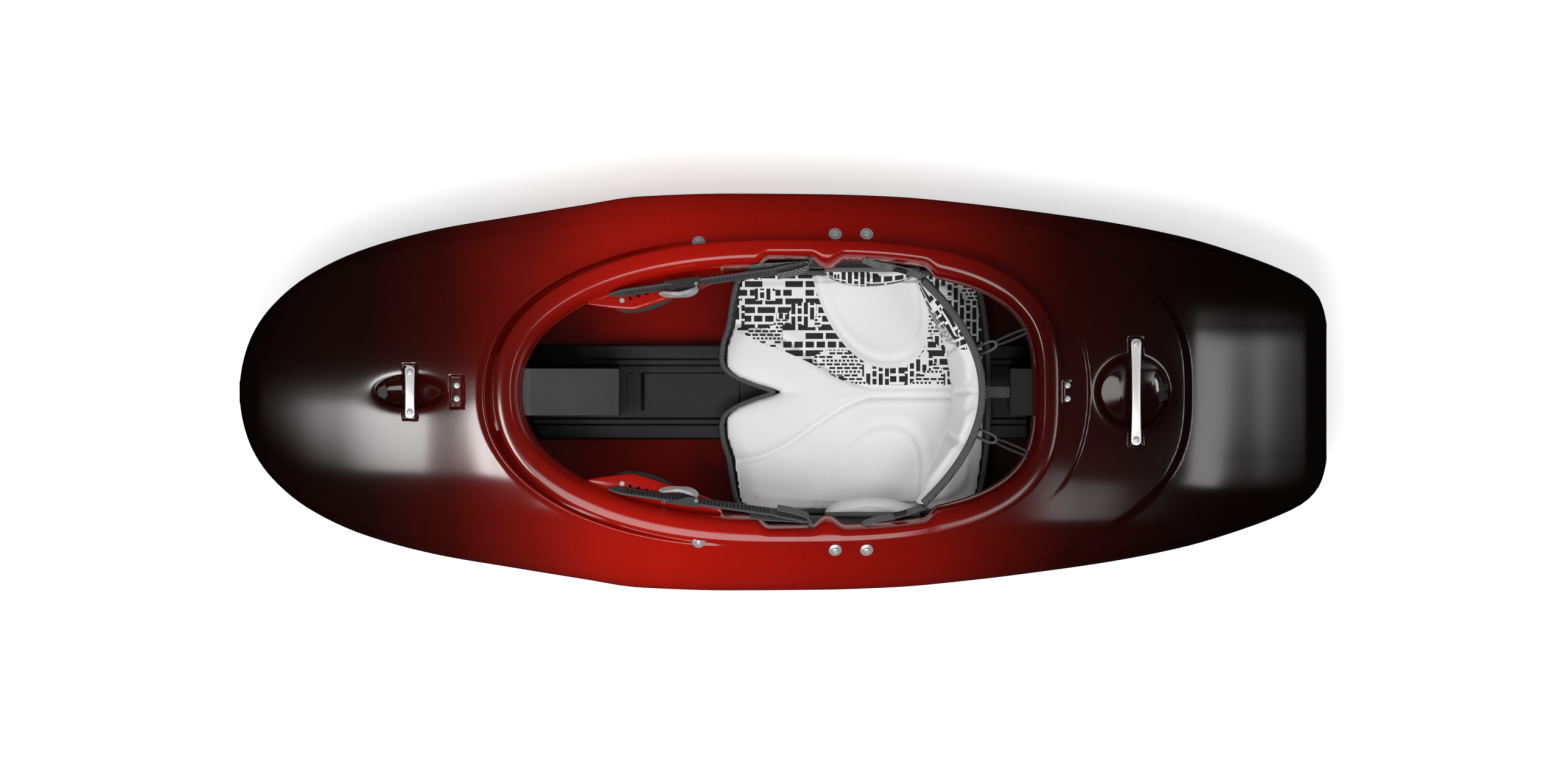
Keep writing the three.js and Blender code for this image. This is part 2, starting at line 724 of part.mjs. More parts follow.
function hullShell() {
  const low = sectionAt(0).sheer + overrun;
  const opening = cockpitOpening(coaming.flange + coaming.skin / 2, low, hull.deckHeight + overrun);
  const shelves = [thighShelf(), mirrored(thighShelf())];
  const walls = cut(dentedForm(0), dentedForm(hull.wall), opening);
  const bare = joined(walls, coamingRing(), ...shelves);
  const slots = [slotCutter(webbing.slotX), slotCutter(webbing.rearSlotX)];
  const cutters = [...shelfHoles(), ...slots, anchorHole(), loopHole()]
    .flatMap((cutter) => [cutter, mirrored(cutter)]);
  for (const [, side] of bothSides) {
    for (const [, x] of seatBoltSpots) {
      const spot = deckSpot(x, seatBolt.y * side);
      cutters.push(washerSeat(spot), boltHole(spot));
    }
    const spot = deckSpot(braceBolt.x, braceBolt.y * side);
    cutters.push(washerSeat(spot), boltHole(spot));
    for (const handle of [bowHandle, sternHandle]) {
      const y = (handle.length / 2 - handle.screwInset) * side;
      cutters.push(deckHole(handle.x, y, screw.shankRadius));
    }
    cutters.push(deckHole(frontPocket.x, frontPocket.screwOffset * side, pillarScrew.shankRadius));
    cutters.push(deckHole(rearScrews.x, rearScrews.screwOffset * side, pillarScrew.shankRadius));
  }
  return cut(bare, ...cutters);
}

// Handles
function handleBar(handle) {
  const half = handle.length / 2;
  const steps = 10;
  const rings = [];
  for (let i = 0; i <= steps; i++) {
    const share = 2 * i / steps - 1;
    const bend = 1 - share * share;
    const width = handle.width / 2 - handle.waist * bend;
    const low = handlePadHeight(handle) + seatGap + handle.arch * bend * bend;
    const top = low + handle.thickness;
    const y = half * share;
    rings.push([[-width, low], [width, low], [width, top], [-width, top]]
      .map(([x, z]) => new THREE.Vector3(handle.x + x, y, z)));
  }
  const ends = [1, -1].map((side) => {
    const y = (half - handle.screwInset) * side;
    return rod(screw.shankRadius + holeClearance, 0, hull.deckHeight + overrun).translate(handle.x, y, 0);
  });
  return cut(skin(rings), ...ends);
}

// A dome-headed screw whose head stands on z = 0 and whose shank points down
function screwForm({ headRadius, headHeight, shankRadius, length }) {
  return turned([
    [0, -length], [shankRadius, shankRadius - length], [shankRadius, 0], [headRadius, 0],
    [headRadius, headHeight * 0.4], [headRadius * 0.7, headHeight], [0, headHeight],
  ], smallSides);
}

function handleScrew(handle, side) {
  const share = 1 - handle.screwInset / (handle.length / 2);
  const bend = 1 - share * share;
  const y = (handle.length / 2 - handle.screwInset) * side;
  const rest = handlePadHeight(handle) + handle.thickness + handle.arch * bend * bend;
  return screwForm(screw).translate(handle.x, y, rest + seatGap * 2 + runningGap);
}

function pillarScrewAt(x, y, level) {
  return screwForm(pillarScrew).translate(x, y, level + seatGap);
}

// A bolt with its finishing washer outside the deck and its nut inside
function deckBolt(spot, grip) {
  const { washerRadius, washerThickness, headRadius, headHeight, shankRadius, nutRadius, nutHeight } = bolt;
  const foot = seatGap - runningGap;
  const nutTop = foot - grip;
  const nutLow = nutTop - nutHeight;
  const tip = nutLow - nutHeight / 2;
  const form = turned([
    [0, tip], [shankRadius, tip], [shankRadius, nutLow],
    [nutRadius, nutLow], [nutRadius, nutTop], [shankRadius, nutTop], [shankRadius, foot],
    [washerRadius, foot], [washerRadius, foot + washerThickness * 0.3], [headRadius, foot + washerThickness],
    [headRadius * 0.7, foot + washerThickness + headHeight], [0, foot + washerThickness + headHeight],
  ]);
  return along(form, spot.point, spot.direction);
}

// What lies in the hull rests on the inside of its wall
const contents = hullForm(hull.wall + seatGap);

function beamForm() {
  const { halfWidth, top, ribY, ribWidth, ribHeight, frontX, rearX, cornerCut } = beam;
  const half = ribWidth / 2;
  const crest = top + ribHeight;
  const rib = (y) => [[y + half, top], [y + half / 2, crest], [y - half / 2, crest], [y - half, top]];
  const profile = [
    [-halfWidth, 0], [halfWidth, 0], [halfWidth, top - ribHeight], [halfWidth - ribHeight, top],
    ...rib(ribY), ...rib(-ribY), [ribHeight - halfWidth, top], [-halfWidth, top - ribHeight],
  ];
  const long = crossSlab(profile, frontX, rearX);
  const wide = halfWidth + overrun;
  const corner = halfWidth - cornerCut;
  const plan = slab([[frontX, corner], [frontX, -corner], [frontX + cornerCut, -wide],
    [rearX, -wide], [rearX, wide], [frontX + cornerCut, wide]], 0, top + overrun);
  const { panelFrontX, panelRearX, panelHalfWidth, panelRise, humpX, humpLength, humpRise } = beam;
  const low = top - overrun;
  const panel = sideSlab([[panelFrontX, low], [panelRearX, low], [panelRearX, top + panelRise],
    [panelFrontX + panelRise, top + panelRise], [panelFrontX, crest]], -panelHalfWidth, panelHalfWidth);
  const humpHigh = top + humpRise;
  const hump = sideSlab([
    [humpX - humpLength / 2, low], [humpX + humpLength / 2, low],
    [humpX + humpLength / 3, humpHigh], [humpX - humpLength / 3, humpHigh],
  ], -panelHalfWidth, panelHalfWidth);
  return common(joined(common(long, plan), panel, hump), contents);
}

function pillarScrewHoles(x) {
  return [1, -1].map((side) => screwHole(x, frontPocket.screwOffset * side, pillarScrew.shankRadius));
}

// Room for the beam's crest under a pillar, and for the coaming over it
function beamSpace(low, high) {
  return box([low, -beam.halfWidth, -overrun], [high, beam.halfWidth, beam.top + beam.ribHeight + seatGap]);
}

function rimSpace(angle) {
  const low = rimHeight(angle) - coaming.innerDrop - runningGap;
  return cockpitOpening(0, low, hull.deckHeight + overrun);
}

function frontPillar() {
  const { halfWidth, frontX, cutX, cutHeight, openX } = pillar;
  const high = hull.deckHeight + overrun;
  const openHeight = deckHeightAt(openX, 0) - hull.wall - coaming.skin * 2;
  const outline = [
    [frontX, 0], [cutX, 0], [cutX, cutHeight], [openX, openHeight], [openX, high], [frontX, high],
  ];
  const side = sideSlab(outline, -halfWidth, halfWidth);
  const grow = hull.wall + seatGap;
  const screwY = bowHandle.length / 2 - bowHandle.screwInset;
  const cutters = [
    bowl(bowHandle, grow), handlePocket(bowHandle, grow), pocket(grow), rimSpace(Math.PI),
    beamSpace(beam.frontX - runningGap, cutX + overrun), ...pillarScrewHoles(frontPocket.x),
    screwHole(bowHandle.x, screwY, screw.shankRadius), screwHole(bowHandle.x, -screwY, screw.shankRadius),
  ];
  return cut(common(side, contents), ...cutters);
}

function rearPillar() {
  const { halfWidth, rearX, sternX: endX } = pillar;
  const side = box([rearX, -halfWidth, 0], [endX, halfWidth, hull.deckHeight + overrun]);
  const grow = hull.wall + seatGap;
  return cut(common(side, contents), bowl(sternHandle, grow), handlePocket(sternHandle, grow),
    beamSpace(rearX - overrun, beam.rearX + runningGap), rimSpace(0), ...pillarScrewHoles(rearScrews.x));
}

function footBlockForm() {
  const { rearX, length, innerY } = footBlock;
  const block = box([rearX - length, innerY, 0], [rearX, hull.beam, hull.deckHeight]);
  const grow = hull.wall + seatGap;
  return cut(common(block, contents), bowl(bowHandle, grow), handlePocket(bowHandle, grow));
}

// Seat: heights of the pad's top and its front and rear edges across the boat
function seatTop(x, y) {
  const ahead = Math.max(seat.lowX - x, 0) / (seat.lowX - seat.frontX);
  const behind = Math.max(x - seat.lowX, 0) / (seat.rearX - seat.lowX);
  const across = Math.abs(y) / seat.halfWidth;
  return seat.low + seat.frontRise * ahead ** 2 + seat.rearRise * behind ** 2 + seat.sideRise * across ** 4;
}

const seatFrontShares = [
  [0, 1], [0.1, 0.7], [0.2, 0.22], [0.32, 0], [0.45, 0.05], [0.7, 0.13], [0.9, 0.24], [1, 0.4],
];
const seatRearShares = [[0, 0], [0.3, 0.01], [0.6, 0.05], [0.86, 0.12], [0.95, 0.35], [1, 0.65]];
const seatFront = curveThrough(seatFrontShares);
const seatRear = curveThrough(seatRearShares);
function seatEdges(y) {
  const across = Math.abs(y) / seat.halfWidth;
  const front = seat.frontX + (seat.notchX - seat.frontX) * seatFront(across);
  const rear = seat.rearX - (seat.rearX - seat.lowX) * seatRear(across);
  return [front, rear];
}

const acrossShares = [-1, -0.96, -0.88, -0.76, -0.62, -0.48, -0.38, -0.3, -0.2, -0.12, -0.05,
  0.05, 0.12, 0.2, 0.3, 0.38, 0.48, 0.62, 0.76, 0.88, 0.96, 1];
const alongShares = [0, 0.03, 0.09, 0.2, 0.34, 0.48, 0.62, 0.76, 0.88, 0.96, 1];

// Sewn channels: a line down the middle and an arc over each thigh
function channelAt(x, y) {
  const arcY = seat.halfWidth * 0.55 - (x - seat.frontX) * 0.16;
  const middle = Math.abs(y) / seat.channelWidth;
  const arc = Math.abs(Math.abs(y) - arcY) / seat.channelWidth;
  const dip = (share) => Math.max(1 - share * share, 0);
  return seat.channelDepth * Math.max(dip(middle), dip(arc));
}

function seatPad() {
  const rings = acrossShares.map((across) => {
    const y = across * seat.halfWidth;
    const [front, rear] = seatEdges(y);
    const side = 1 - Math.abs(across) ** 6 * 0.5;
    const top = alongShares.map((share) => {
      const x = front + (rear - front) * share;
      const crown = (1 - Math.abs(2 * share - 1) ** 8) * side;
      const low = seatTop(x, y) - seat.padThickness;
      const thickness = seat.edgeThickness + (seat.padThickness - seat.edgeThickness) * crown;
      return new THREE.Vector3(x, y, low + thickness - channelAt(x, y) * crown);
    });
    const drawnIn = (rear - front) * 0.008;
    const bottom = alongShares.map((share) => {
      const x = front + drawnIn + (rear - front - 2 * drawnIn) * share;
      return new THREE.Vector3(x, y, seatTop(x, y) - seat.padThickness);
    });
    return [...top, ...bottom.reverse()];
  });
  return skin(rings);
}

function seatPan() {
  const reach = seat.halfWidth - seat.panInset;
  const rings = acrossShares.map((across) => {
    const y = across * reach;
    const [front, rear] = seatEdges(y);
    const level = (x) => seatTop(x, y) - seat.padThickness - runningGap;
    const length = rear - front - seat.panInset * 2;
    const steps = alongShares.map((share) => front + seat.panInset + length * share);
    const top = steps.map((x) => new THREE.Vector3(x, y, level(x)));
    const bottom = steps.map((x) => new THREE.Vector3(x, y, level(x) - seat.panThickness));
    return [...top, ...bottom.reverse()];
  });
  const rails = [1, -1].map((side) => {
    const y = seat.railHalf * side;
    const half = seat.railWidth / 2;
    const low = beam.top + beam.ribHeight + seatGap;
    const points = [];
    const runs = [0, 0.25, 0.5, 0.75, 1];
    const front = seat.frontX + seat.panInset * 3;
    const rear = seat.rearX - seat.panInset * 3;
    runs.forEach((share) => {
      const x = front + (rear - front) * share;
      points.push([x, seatTop(x, seat.railHalf) - seat.padThickness - runningGap - seat.panThickness / 2]);
    });
    points.push([rear, low], [front, low]);
    return sideSlab(points, y - half, y + half);
  });
  return joined(skin(rings), ...rails, seatEars(), mirrored(seatEars()));
}

function earFoot() {
  const panEdge = seat.halfWidth - seat.panInset * 2;
  return seatTop(seatEar.rearX + seat.travel, panEdge) - seat.padThickness - seatGap * 3;
}

// An ear rises from each side of the pan to the bolts under the side deck
function seatEars() {
  const { frontX, rearX, thickness, footY, lean, knee, flangeInnerY, flangeOuterY } = seatEar;
  const panEdge = seat.halfWidth - seat.panInset * 2;
  const foot = earFoot();
  const flangeHigh = earHeight(flangeInnerY);
  const flangeLow = earHeight(flangeOuterY);
  const kneeY = footY + lean;
  const profile = [
    [panEdge, foot - thickness], [footY + thickness, foot - thickness],
    [kneeY + thickness, knee - thickness / 2],
    [flangeInnerY + thickness / 2, flangeHigh - thickness], [flangeOuterY, flangeLow - thickness],
    [flangeOuterY, flangeLow], [flangeInnerY, flangeHigh], [kneeY, knee], [footY, foot], [panEdge, foot],
  ];
  const ear = crossSlab(profile, frontX - seat.travel, rearX + seat.travel);
  const spot = deckSpot((seatBolt.frontX + seatBolt.rearX) / 2, seatBolt.y);
  const half = bolt.shankRadius + runningGap * 2;
  const reach = (seatBolt.rearX - seatBolt.frontX) / 2 + seat.travel + half * 1.5;
  const slot = box([-reach, -half, -overrun], [reach, half, overrun]);
  const across = new THREE.Vector3(0, spot.direction.y, spot.direction.z).normalize();
  return cut(ear, along(slot, spot.point, across));
}

// The ear's flange stays clear of the deck over the whole travel of the seat
function earHeight(y) {
  const ends = [seatEar.frontX - seat.travel * 2, seatEar.rearX + seat.travel * 2];
  const clear = Math.min(...ends.map((x) => deckHeightAt(x, y, hull.wall)));
  return clear - runningGap * 3;
}

function hipPadForm() {
  const { frontX, rearX, low, high, thickness } = hipPad;
  const back = (z) => seatEar.footY - seatGap + seatEar.lean * (z - earFoot()) / (seatEar.knee - earFoot());
  const steps = [0, 0.08, 0.22, 0.4, 0.6, 0.78, 0.92, 1];
  const heights = [0, 0.1, 0.3, 0.7, 0.9, 1];
  const rings = steps.map((share) => {
    const x = frontX + (rearX - frontX) * share;
    const swell = Math.sqrt(Math.max(1 - Math.abs(2 * share - 1) ** 2.4, 0.02));
    const front = heights.map((up) => {
      const round = Math.sqrt(Math.max(1 - Math.abs(2 * up - 1) ** 4, 0.15));
      const z = low + (high - low) * up;
      return new THREE.Vector3(x, back(z) - thickness * swell * round, z);
    });
    const rearFace = [high, low].map((z) => new THREE.Vector3(x, back(z), z));
    return [...front, ...rearFace];
  });
  return skin(rings);
}

// Backband: a curved band, low in the middle and narrow at its ends
function bandAt(across, inward) {
  const y = backband.halfWidth * across;
  const ends = across * across;
  const low = backband.low + (backband.endLow - backband.low) * ends;
  const high = backband.high + (backband.endHigh - backband.high) * ends;
  const place = (up, off) => {
    const z = low + (high - low) * up;
    const back = backband.apexX - (backband.high - z) * backband.lean - backband.depth * ends;
    return new THREE.Vector3(back - off, y - Math.sign(across) * Math.abs(across) * off * inward, z);
  };
  return place;
}

const bandShares = [-1, -0.92, -0.8, -0.64, -0.48, -0.32, -0.16, 0, 0.16, 0.32, 0.48, 0.64, 0.8, 0.92, 1];
const bandInward = 0.6;
function backbandShell() {
  const rings = bandShares.map((across) => {
    const place = bandAt(across, bandInward);
    const upShares = [0, 0.5, 1];
    const rear = upShares.map((up) => place(up, 0));
    const front = upShares.map((up) => place(up, backband.shell));
    return [...rear, ...front.reverse()];
  });
  return skin(rings);
}

function backbandPad() {
  const upShares = [0, 0.06, 0.2, 0.4, 0.6, 0.8, 0.94, 1];
  const rings = bandShares.map((across) => {
    const place = bandAt(across, bandInward);
    const rear = [0, 1].map((up) => place(up, backband.shell + seatGap * 2));
    const full = 1 - Math.abs(across) ** 6 * 0.7;
    const front = upShares.map((up) => {
      const swell = Math.sqrt(Math.max(1 - Math.abs(2 * up - 1) ** 5, 0.04)) * full;
      const thickness = backband.edge + (backband.padThickness - backband.edge) * swell;
      return place(up, backband.shell + seatGap * 2 + thickness);
    });
    return [...rear, ...front.reverse()];
  });
  return skin(rings);
}

// The ladder strap keeps clear of the inside of the coaming at its front end and at its tail
const strapFrontX = ladder.ratchetX - ladder.frontReach;
const strapTailX = ladder.ratchetX + ladder.tailReach;
const strapFrontY = rimPoint(rimAngleAt(strapFrontX), coaming.width).y - room.ladderWall;
const strapTailY = slotPoint(webbing.slotX).y - room.ladderSlot;
const strapAngle = Math.atan2(strapTailY - strapFrontY, strapTailX - strapFrontX);

// Its frame: u runs aft along the strap, v up its tilted width and w out of its teeth
const strapTilt = THREE.MathUtils.degToRad(ladder.tilt);
const strapU = new THREE.Vector3(Math.cos(strapAngle), Math.sin(strapAngle), shelfSlope).normalize();
const strapW = new THREE.Vector3(0, -Math.cos(strapTilt), Math.sin(strapTilt));
strapW.addScaledVector(strapU, -strapW.dot(strapU)).normalize();
const strapV = new THREE.Vector3().crossVectors(strapW, strapU);
const strapCentre = new THREE.Vector3(
  ladder.ratchetX, strapFrontY + ladder.frontReach * Math.tan(strapAngle),
  shelfHeight(ladder.ratchetX) + ladder.rise);
const strapFrame = new THREE.Matrix4().makeBasis(strapU, strapV, strapW).setPosition(strapCentre);

function ladderStrap() {
  const { frontReach, rearReach, tailReach, width, backing, toothHeight, toothPitch, tailAngle } = ladder;
  const teeth = Math.floor((frontReach + rearReach) / toothPitch) - 1;
  const bend = Math.tan(THREE.MathUtils.degToRad(tailAngle));
  const tailLow = -(tailReach - rearReach) * bend;
  const tailThick = backing * 1.6;
  const points = [[-frontReach, 0], [rearReach, 0], [tailReach, tailLow], [tailReach, tailLow + tailThick],
    [rearReach, tailThick]];
  for (let i = 0; i < teeth; i++) {
    const u = rearReach - toothPitch * (i + 1);
    points.push([u + toothPitch * 0.55, backing], [u + toothPitch * 0.5, backing + toothHeight],
      [u + toothPitch * 0.1, backing + toothHeight], [u, backing]);
  }
  points.push([-frontReach, backing * 0.6]);
  const form = onStrap(points, -width / 2, width / 2);
  const half = width / 2 - backing * 1.5;
  const slotEnd = tailReach - backing * 2;
  const slot = onStrap([[slotEnd - ladder.slotLength / 3, -overrun], [slotEnd, -overrun],
    [slotEnd, overrun], [slotEnd - ladder.slotLength / 3, overrun]], -half, half);
  return cut(form, slot).applyMatrix4(strapFrame);
}

// A u and w outline carried across the strap
function onStrap(points, low, high) {
  const turn = new THREE.Matrix4().makeBasis(
    new THREE.Vector3(1, 0, 0), new THREE.Vector3(0, 0, 1), new THREE.Vector3(0, -1, 0));
  return extruded(points, high - low).applyMatrix4(turn).translate(0, high, 0);
}

// Ratchet base: a plate behind the strap with an ear above and below it, and a tab to its bolt
function strapRoom() {
  return ladder.width / 2 + runningGap;
}

function ratchetBase() {
  const { length, plate, reach, pinU, pinRadius } = ratchet;
  const half = length / 2;
  const side = strapRoom();
  const back = -runningGap / 2;
  const outline = [
    [-half, back - plate], [half, back - plate], [half, reach * 0.6], [half - reach / 4, reach],
    [half / 3, reach], [-half / 3, reach / 2], [-half, back],
  ];
  const body = onStrap(outline, -side - plate, side + plate);
  const slot = [[-length, back], [length, back], [length, overrun], [-length, overrun]];
  const channel = onStrap(slot, -side, side);
  const pinHole = rod(pinRadius + holeClearance, -overrun, overrun).rotateX(Math.PI / 2)
    .translate(pinU, 0, pinHeight());
  return joined(cut(body, channel, pinHole).applyMatrix4(strapFrame), ratchetTab());
}

function pinHeight() {
  return ladder.backing + ladder.toothHeight + runningGap + lever.hubRadius;
}

// The tab lies on the shelf beside the strap
function tabPoint() {
  const back = strapCentre.clone().addScaledVector(strapU, ratchet.tabU);
  return new THREE.Vector3(back.x, back.y + ratchet.tabOffset, shelfHeight(back.x));
}

function ratchetTab() {
  const { plate, tabLength, tabWidth } = ratchet;
  const frame = new THREE.Matrix4().makeBasis(
    new THREE.Vector3(1, 0, shelfSlope).normalize(), new THREE.Vector3(0, 1, 0), shelfNormal);
  const point = tabPoint();
  frame.setPosition(point);
  const high = seatGap + plate;
  const form = box([-tabLength / 2, -tabWidth / 2, seatGap], [tabLength * 1.2, anchorBolt.headRadius, high]);
  const hole = rod(anchorBolt.shankRadius + holeClearance, -overrun, overrun);
  return cut(form, hole).applyMatrix4(frame);
}

function anchorHole() {
  const hole = rod(anchorBolt.shankRadius + holeClearance, -overrun / 2, overrun / 2);
  return along(hole, tabPoint(), shelfNormal);
}

function anchorBoltForm() {
  const raised = seatGap * 2 + ratchet.plate;
  return along(screwForm(anchorBolt).translate(0, 0, raised), tabPoint(), shelfNormal);
}

// Lever: a hub on the pin and a long tongue that folds over the strap
function leverForm() {
  const { length, hubRadius, thickness, side } = lever;
  const reach = strapRoom() - runningGap / 2 - side;
  const high = pinHeight();
  const over = high - hubRadius;
  const tip = ratchet.pinU - length;
  const hubTurns = [-90, -45, 0, 45, 90];
  const outline = hubTurns.map((degrees) => {
    const angle = THREE.MathUtils.degToRad(degrees);
    return [ratchet.pinU + hubRadius * Math.cos(angle), high + hubRadius * Math.sin(angle)];
  });
  const crest = over + thickness + side * 2;
  outline.push([tip + hubRadius * 2, crest], [tip, over + side], [tip + hubRadius, over]);
  const body = onStrap(outline, -reach, reach);
  const hole = rod(ratchet.pinRadius + holeClearance, -overrun, overrun).rotateX(Math.PI / 2)
    .translate(ratchet.pinU, 0, high);
  return cut(body, hole).applyMatrix4(strapFrame);
}

function leverPin() {
  const reach = strapRoom() + ratchet.plate + seatGap;
  const { pinRadius } = ratchet;
  const head = pinRadius * 1.7;
  const form = turned([
    [0, -reach - pinRadius], [head * 0.7, -reach - pinRadius], [head, -reach], [pinRadius, -reach],
    [pinRadius, reach], [head, reach], [head * 0.7, reach + pinRadius], [0, reach + pinRadius],
  ], smallSides);
  return form.rotateX(Math.PI / 2).translate(ratchet.pinU, 0, pinHeight()).applyMatrix4(strapFrame);
}

function strapPoint(u, v, w) {
  return new THREE.Vector3(u, v, w).applyMatrix4(strapFrame);
}

// Webbing from the back of the ladder strap's end through the first slot
function frontWebbing() {
  const bend = Math.tan(THREE.MathUtils.degToRad(ladder.tailAngle));
  const behind = -webbing.thickness / 2 - seatGap * 2;
  const start = strapPoint(ladder.rearReach, 0, behind);
  const end = strapPoint(ladder.tailReach, 0, behind - (ladder.tailReach - ladder.rearReach) * bend);
  const { x, y, z } = slotPoint(webbing.slotX);
  const aside = ladder.width * 0.17;
  const below = ladder.width * 0.3;
  const near = y - webbing.thickness * 2;
  return ribbon([
    [start.x, start.y + aside, start.z - below], [end.x, end.y + aside, end.z - below],
    [x - webbing.thickness, near, z], [x, y + coaming.skin, z],
  ], webbing.width * 0.8, webbing.thickness);
}

function bandEnd() {
  const place = bandAt(1, bandInward);
  return place(0.5, 0);
}

function rearWebbing() {
  const { x, y, z } = slotPoint(webbing.rearSlotX);
  const end = bandEnd();
  return ribbon([[x, y + coaming.skin, z], [x + webbing.thickness, y - webbing.thickness * 2, z],
    [end.x - backband.shell, end.y + runningGap * 2, end.z]], webbing.width * 0.9, webbing.thickness);
}

function keeperForm() {
  const end = bandEnd();
  const start = slotPoint(webbing.rearSlotX);
  start.y -= webbing.thickness * 2;
  const finish = new THREE.Vector3(end.x, end.y + runningGap * 2, end.z);
  const direction = finish.clone().sub(start).normalize();
  const centre = start.clone().lerp(finish, keeper.share);
  const across = new THREE.Vector3(-direction.y, direction.x, 0).normalize();
  const up = new THREE.Vector3().crossVectors(direction, across);
  const frame = new THREE.Matrix4().makeBasis(direction, across, up).setPosition(centre);
  const { length, height, thickness } = keeper;
  const outer = box([-length / 2, -thickness, -height / 2], [length / 2, thickness, height / 2]);
  const inner = thickness * 0.6;
  const hollow = box([-length, -inner, inner - height / 2], [length, inner, height / 2 - inner]);
  return cut(outer, hollow).applyMatrix4(frame);
}

// A long oval ring of round rod, from one point to another
function oval(from, to, width, thickness) {
  const length = from.distanceTo(to);
  const half = width / 2;
  const direction = to.clone().sub(from).normalize();
  const across = new THREE.Vector3(-direction.y, direction.x, 0).normalize();
  const up = new THREE.Vector3().crossVectors(direction, across);
  const rings = [];
  const turns = 12;
  const sides = 6;
  for (let i = 0; i < turns; i++) {
    const angle = 2 * Math.PI * (i + 0.5) / turns;
    const shift = Math.cos(angle) > 0 ? length - half : half;
    const out = new THREE.Vector3(Math.cos(angle), Math.sin(angle), 0);
    const ring = [];
    for (let j = 0; j < sides; j++) {
      const round = 2 * Math.PI * j / sides;
      const radius = half + thickness / 2 * Math.cos(round);
      ring.push(new THREE.Vector3(shift + out.x * radius, out.y * radius, thickness / 2 * Math.sin(round)));
    }
    rings.push(ring);
  }
  const frame = new THREE.Matrix4().makeBasis(direction, across, up).setPosition(from);
  return skin(rings, true).applyMatrix4(frame);
}

function hookEnds() {
  const across = hook.y / backband.halfWidth;
  const up = (hook.z - backband.low) / (backband.high - backband.low);
  const start = bandAt(across, bandInward)(up, 0).add(new THREE.Vector3(hook.rod * 0.45, 0, 0));
  const far = new THREE.Vector3(loop.endX, loop.endY, loopHeight());
  const direction = far.clone().sub(start).normalize();
  return { start, finish: start.clone().addScaledVector(direction, hook.length), far, direction };
}

function hookForm() {
  const { start, finish } = hookEnds();
  return oval(start, finish, hook.width, hook.rod);
}

function elasticLoop() {
  const { finish, far, direction } = hookEnds();
  const start = finish.clone().addScaledVector(direction, seatGap + (hook.rod + loop.rod) * 0.43);
  return oval(start, far.clone().addScaledVector(direction, loop.rod), loop.width, loop.rod);
}

// A strap from the backband's lower edge to the rear pillar
function rearStrapForm() {
  const low = backband.low + (backband.high - backband.low) * 0.25;
  const start = bandAt(0, bandInward)(0.25, 0);
  const half = rearStrap.width / 2;
  const x0 = start.x + runningGap;
  const x1 = pillar.rearX - seatGap * 2;
  const { thickness } = rearStrap;
  const outline = [[x0, low - thickness], [x1, low - thickness * 3], [x1, low - thickness * 2], [x0, low]];
  return sideSlab(outline, -half, half);
}

// Thigh brace: a plate under the shelf, held by a screw through the row of holes
function braceFrame() {
  const across = new THREE.Vector3().crossVectors(shelfNormal, rowDirection);
  const under = holePoint(0).addScaledVector(shelfNormal, -shelf.thickness - seatGap);
  return new THREE.Matrix4().makeBasis(rowDirection, across, shelfNormal).setPosition(under);
}

const bracePlanShares = [
  [-0.15, 0.1], [-0.06, 0.18], [0.75, 0.18], [0.85, -0.1],
  [0.85, -0.5], [0.6, -0.75], [0.1, -0.75], [-0.15, -0.5],
];
function braceForm() {
  const points = bracePlanShares.map(([u, v]) => [u * brace.length, v * brace.width]);
  const hole = rod(screw.shankRadius + holeClearance, -overrun, overrun);
  return cut(slab(points, -brace.thickness, 0), hole).applyMatrix4(braceFrame());
}

function braceScrew() {
  const grip = shelf.thickness + seatGap * 2;
  const length = grip + brace.thickness * 2;
  const form = screwForm({ ...screw, shankRadius: anchorBolt.shankRadius, length });
  return form.translate(0, 0, grip).applyMatrix4(braceFrame());
}

function bracePad() {
  const { padLength, padThickness, padBulge, padRound, thickness, width } = brace;
  const steps = [0, 0.1, 0.25, 0.42, 0.58, 0.75, 0.9, 1];
  const rings = steps.map((share) => {
    const u = -0.15 * brace.length + padLength * share;
    const swell = Math.sqrt(Math.max(1 - (2 * share - 1) ** 2, 0.03));
    const top = -thickness - seatGap * 2;
    const inner = -width * 0.3 - (padBulge + width * 0.35) * swell;
    const outer = -width * 0.2;
    const low = top - padThickness * swell;
    const waist = (top + low) / 2;
    const corners = [
      [outer, top], [inner + padRound, top], [inner, waist], [inner + padBulge * 0.3, low], [outer, low],
    ];
    return corners.map(([v, w]) => new THREE.Vector3(u, v, w));
  });
  return facingOut(mergeVertices(skin(rings))).applyMatrix4(braceFrame());
}

// Materials
function material(color, roughness, metalness) {
  return new THREE.MeshStandardMaterial({ color, roughness, metalness });
}
const finishes = {
  hullPlastic: material(0x7a0c05, 0.35, 0),
  polishedAluminium: material(0xd9dadb, 0.25, 1),
  steel: material(0xc9cbcd, 0.3, 1),
  blackPlastic: material(0x1b1b1c, 0.55, 0),
  greyFoam: material(0x4b4b4b, 0.95, 0),
  blackFoam: material(0x29292a, 0.9, 0),
  whiteFabric: material(0xe2e2e2, 0.9, 0),
  webbingGrey: material(0x3f3f40, 0.9, 0),
  blackWebbing: material(0x202021, 0.95, 0),
  clearPlastic: material(0xd8dade, 0.1, 0),
  greyPlastic: material(0x5c5d5f, 0.5, 0),
  elastic: material(0x2a2a2b, 0.8, 0),
};

const kayak = new THREE.Group();
function add(name, geometry, finish) {
  const mesh = new THREE.Mesh(closedForm(geometry), finish);
  mesh.name = name;
  kayak.add(mesh);
}

// Adds a piece on the right and its mirror image on the left
function addPair(name, geometry, finish) {
  add(`${name}_right`, geometry, finish);
  add(`${name}_left`, mirrored(geometry), finish);
}

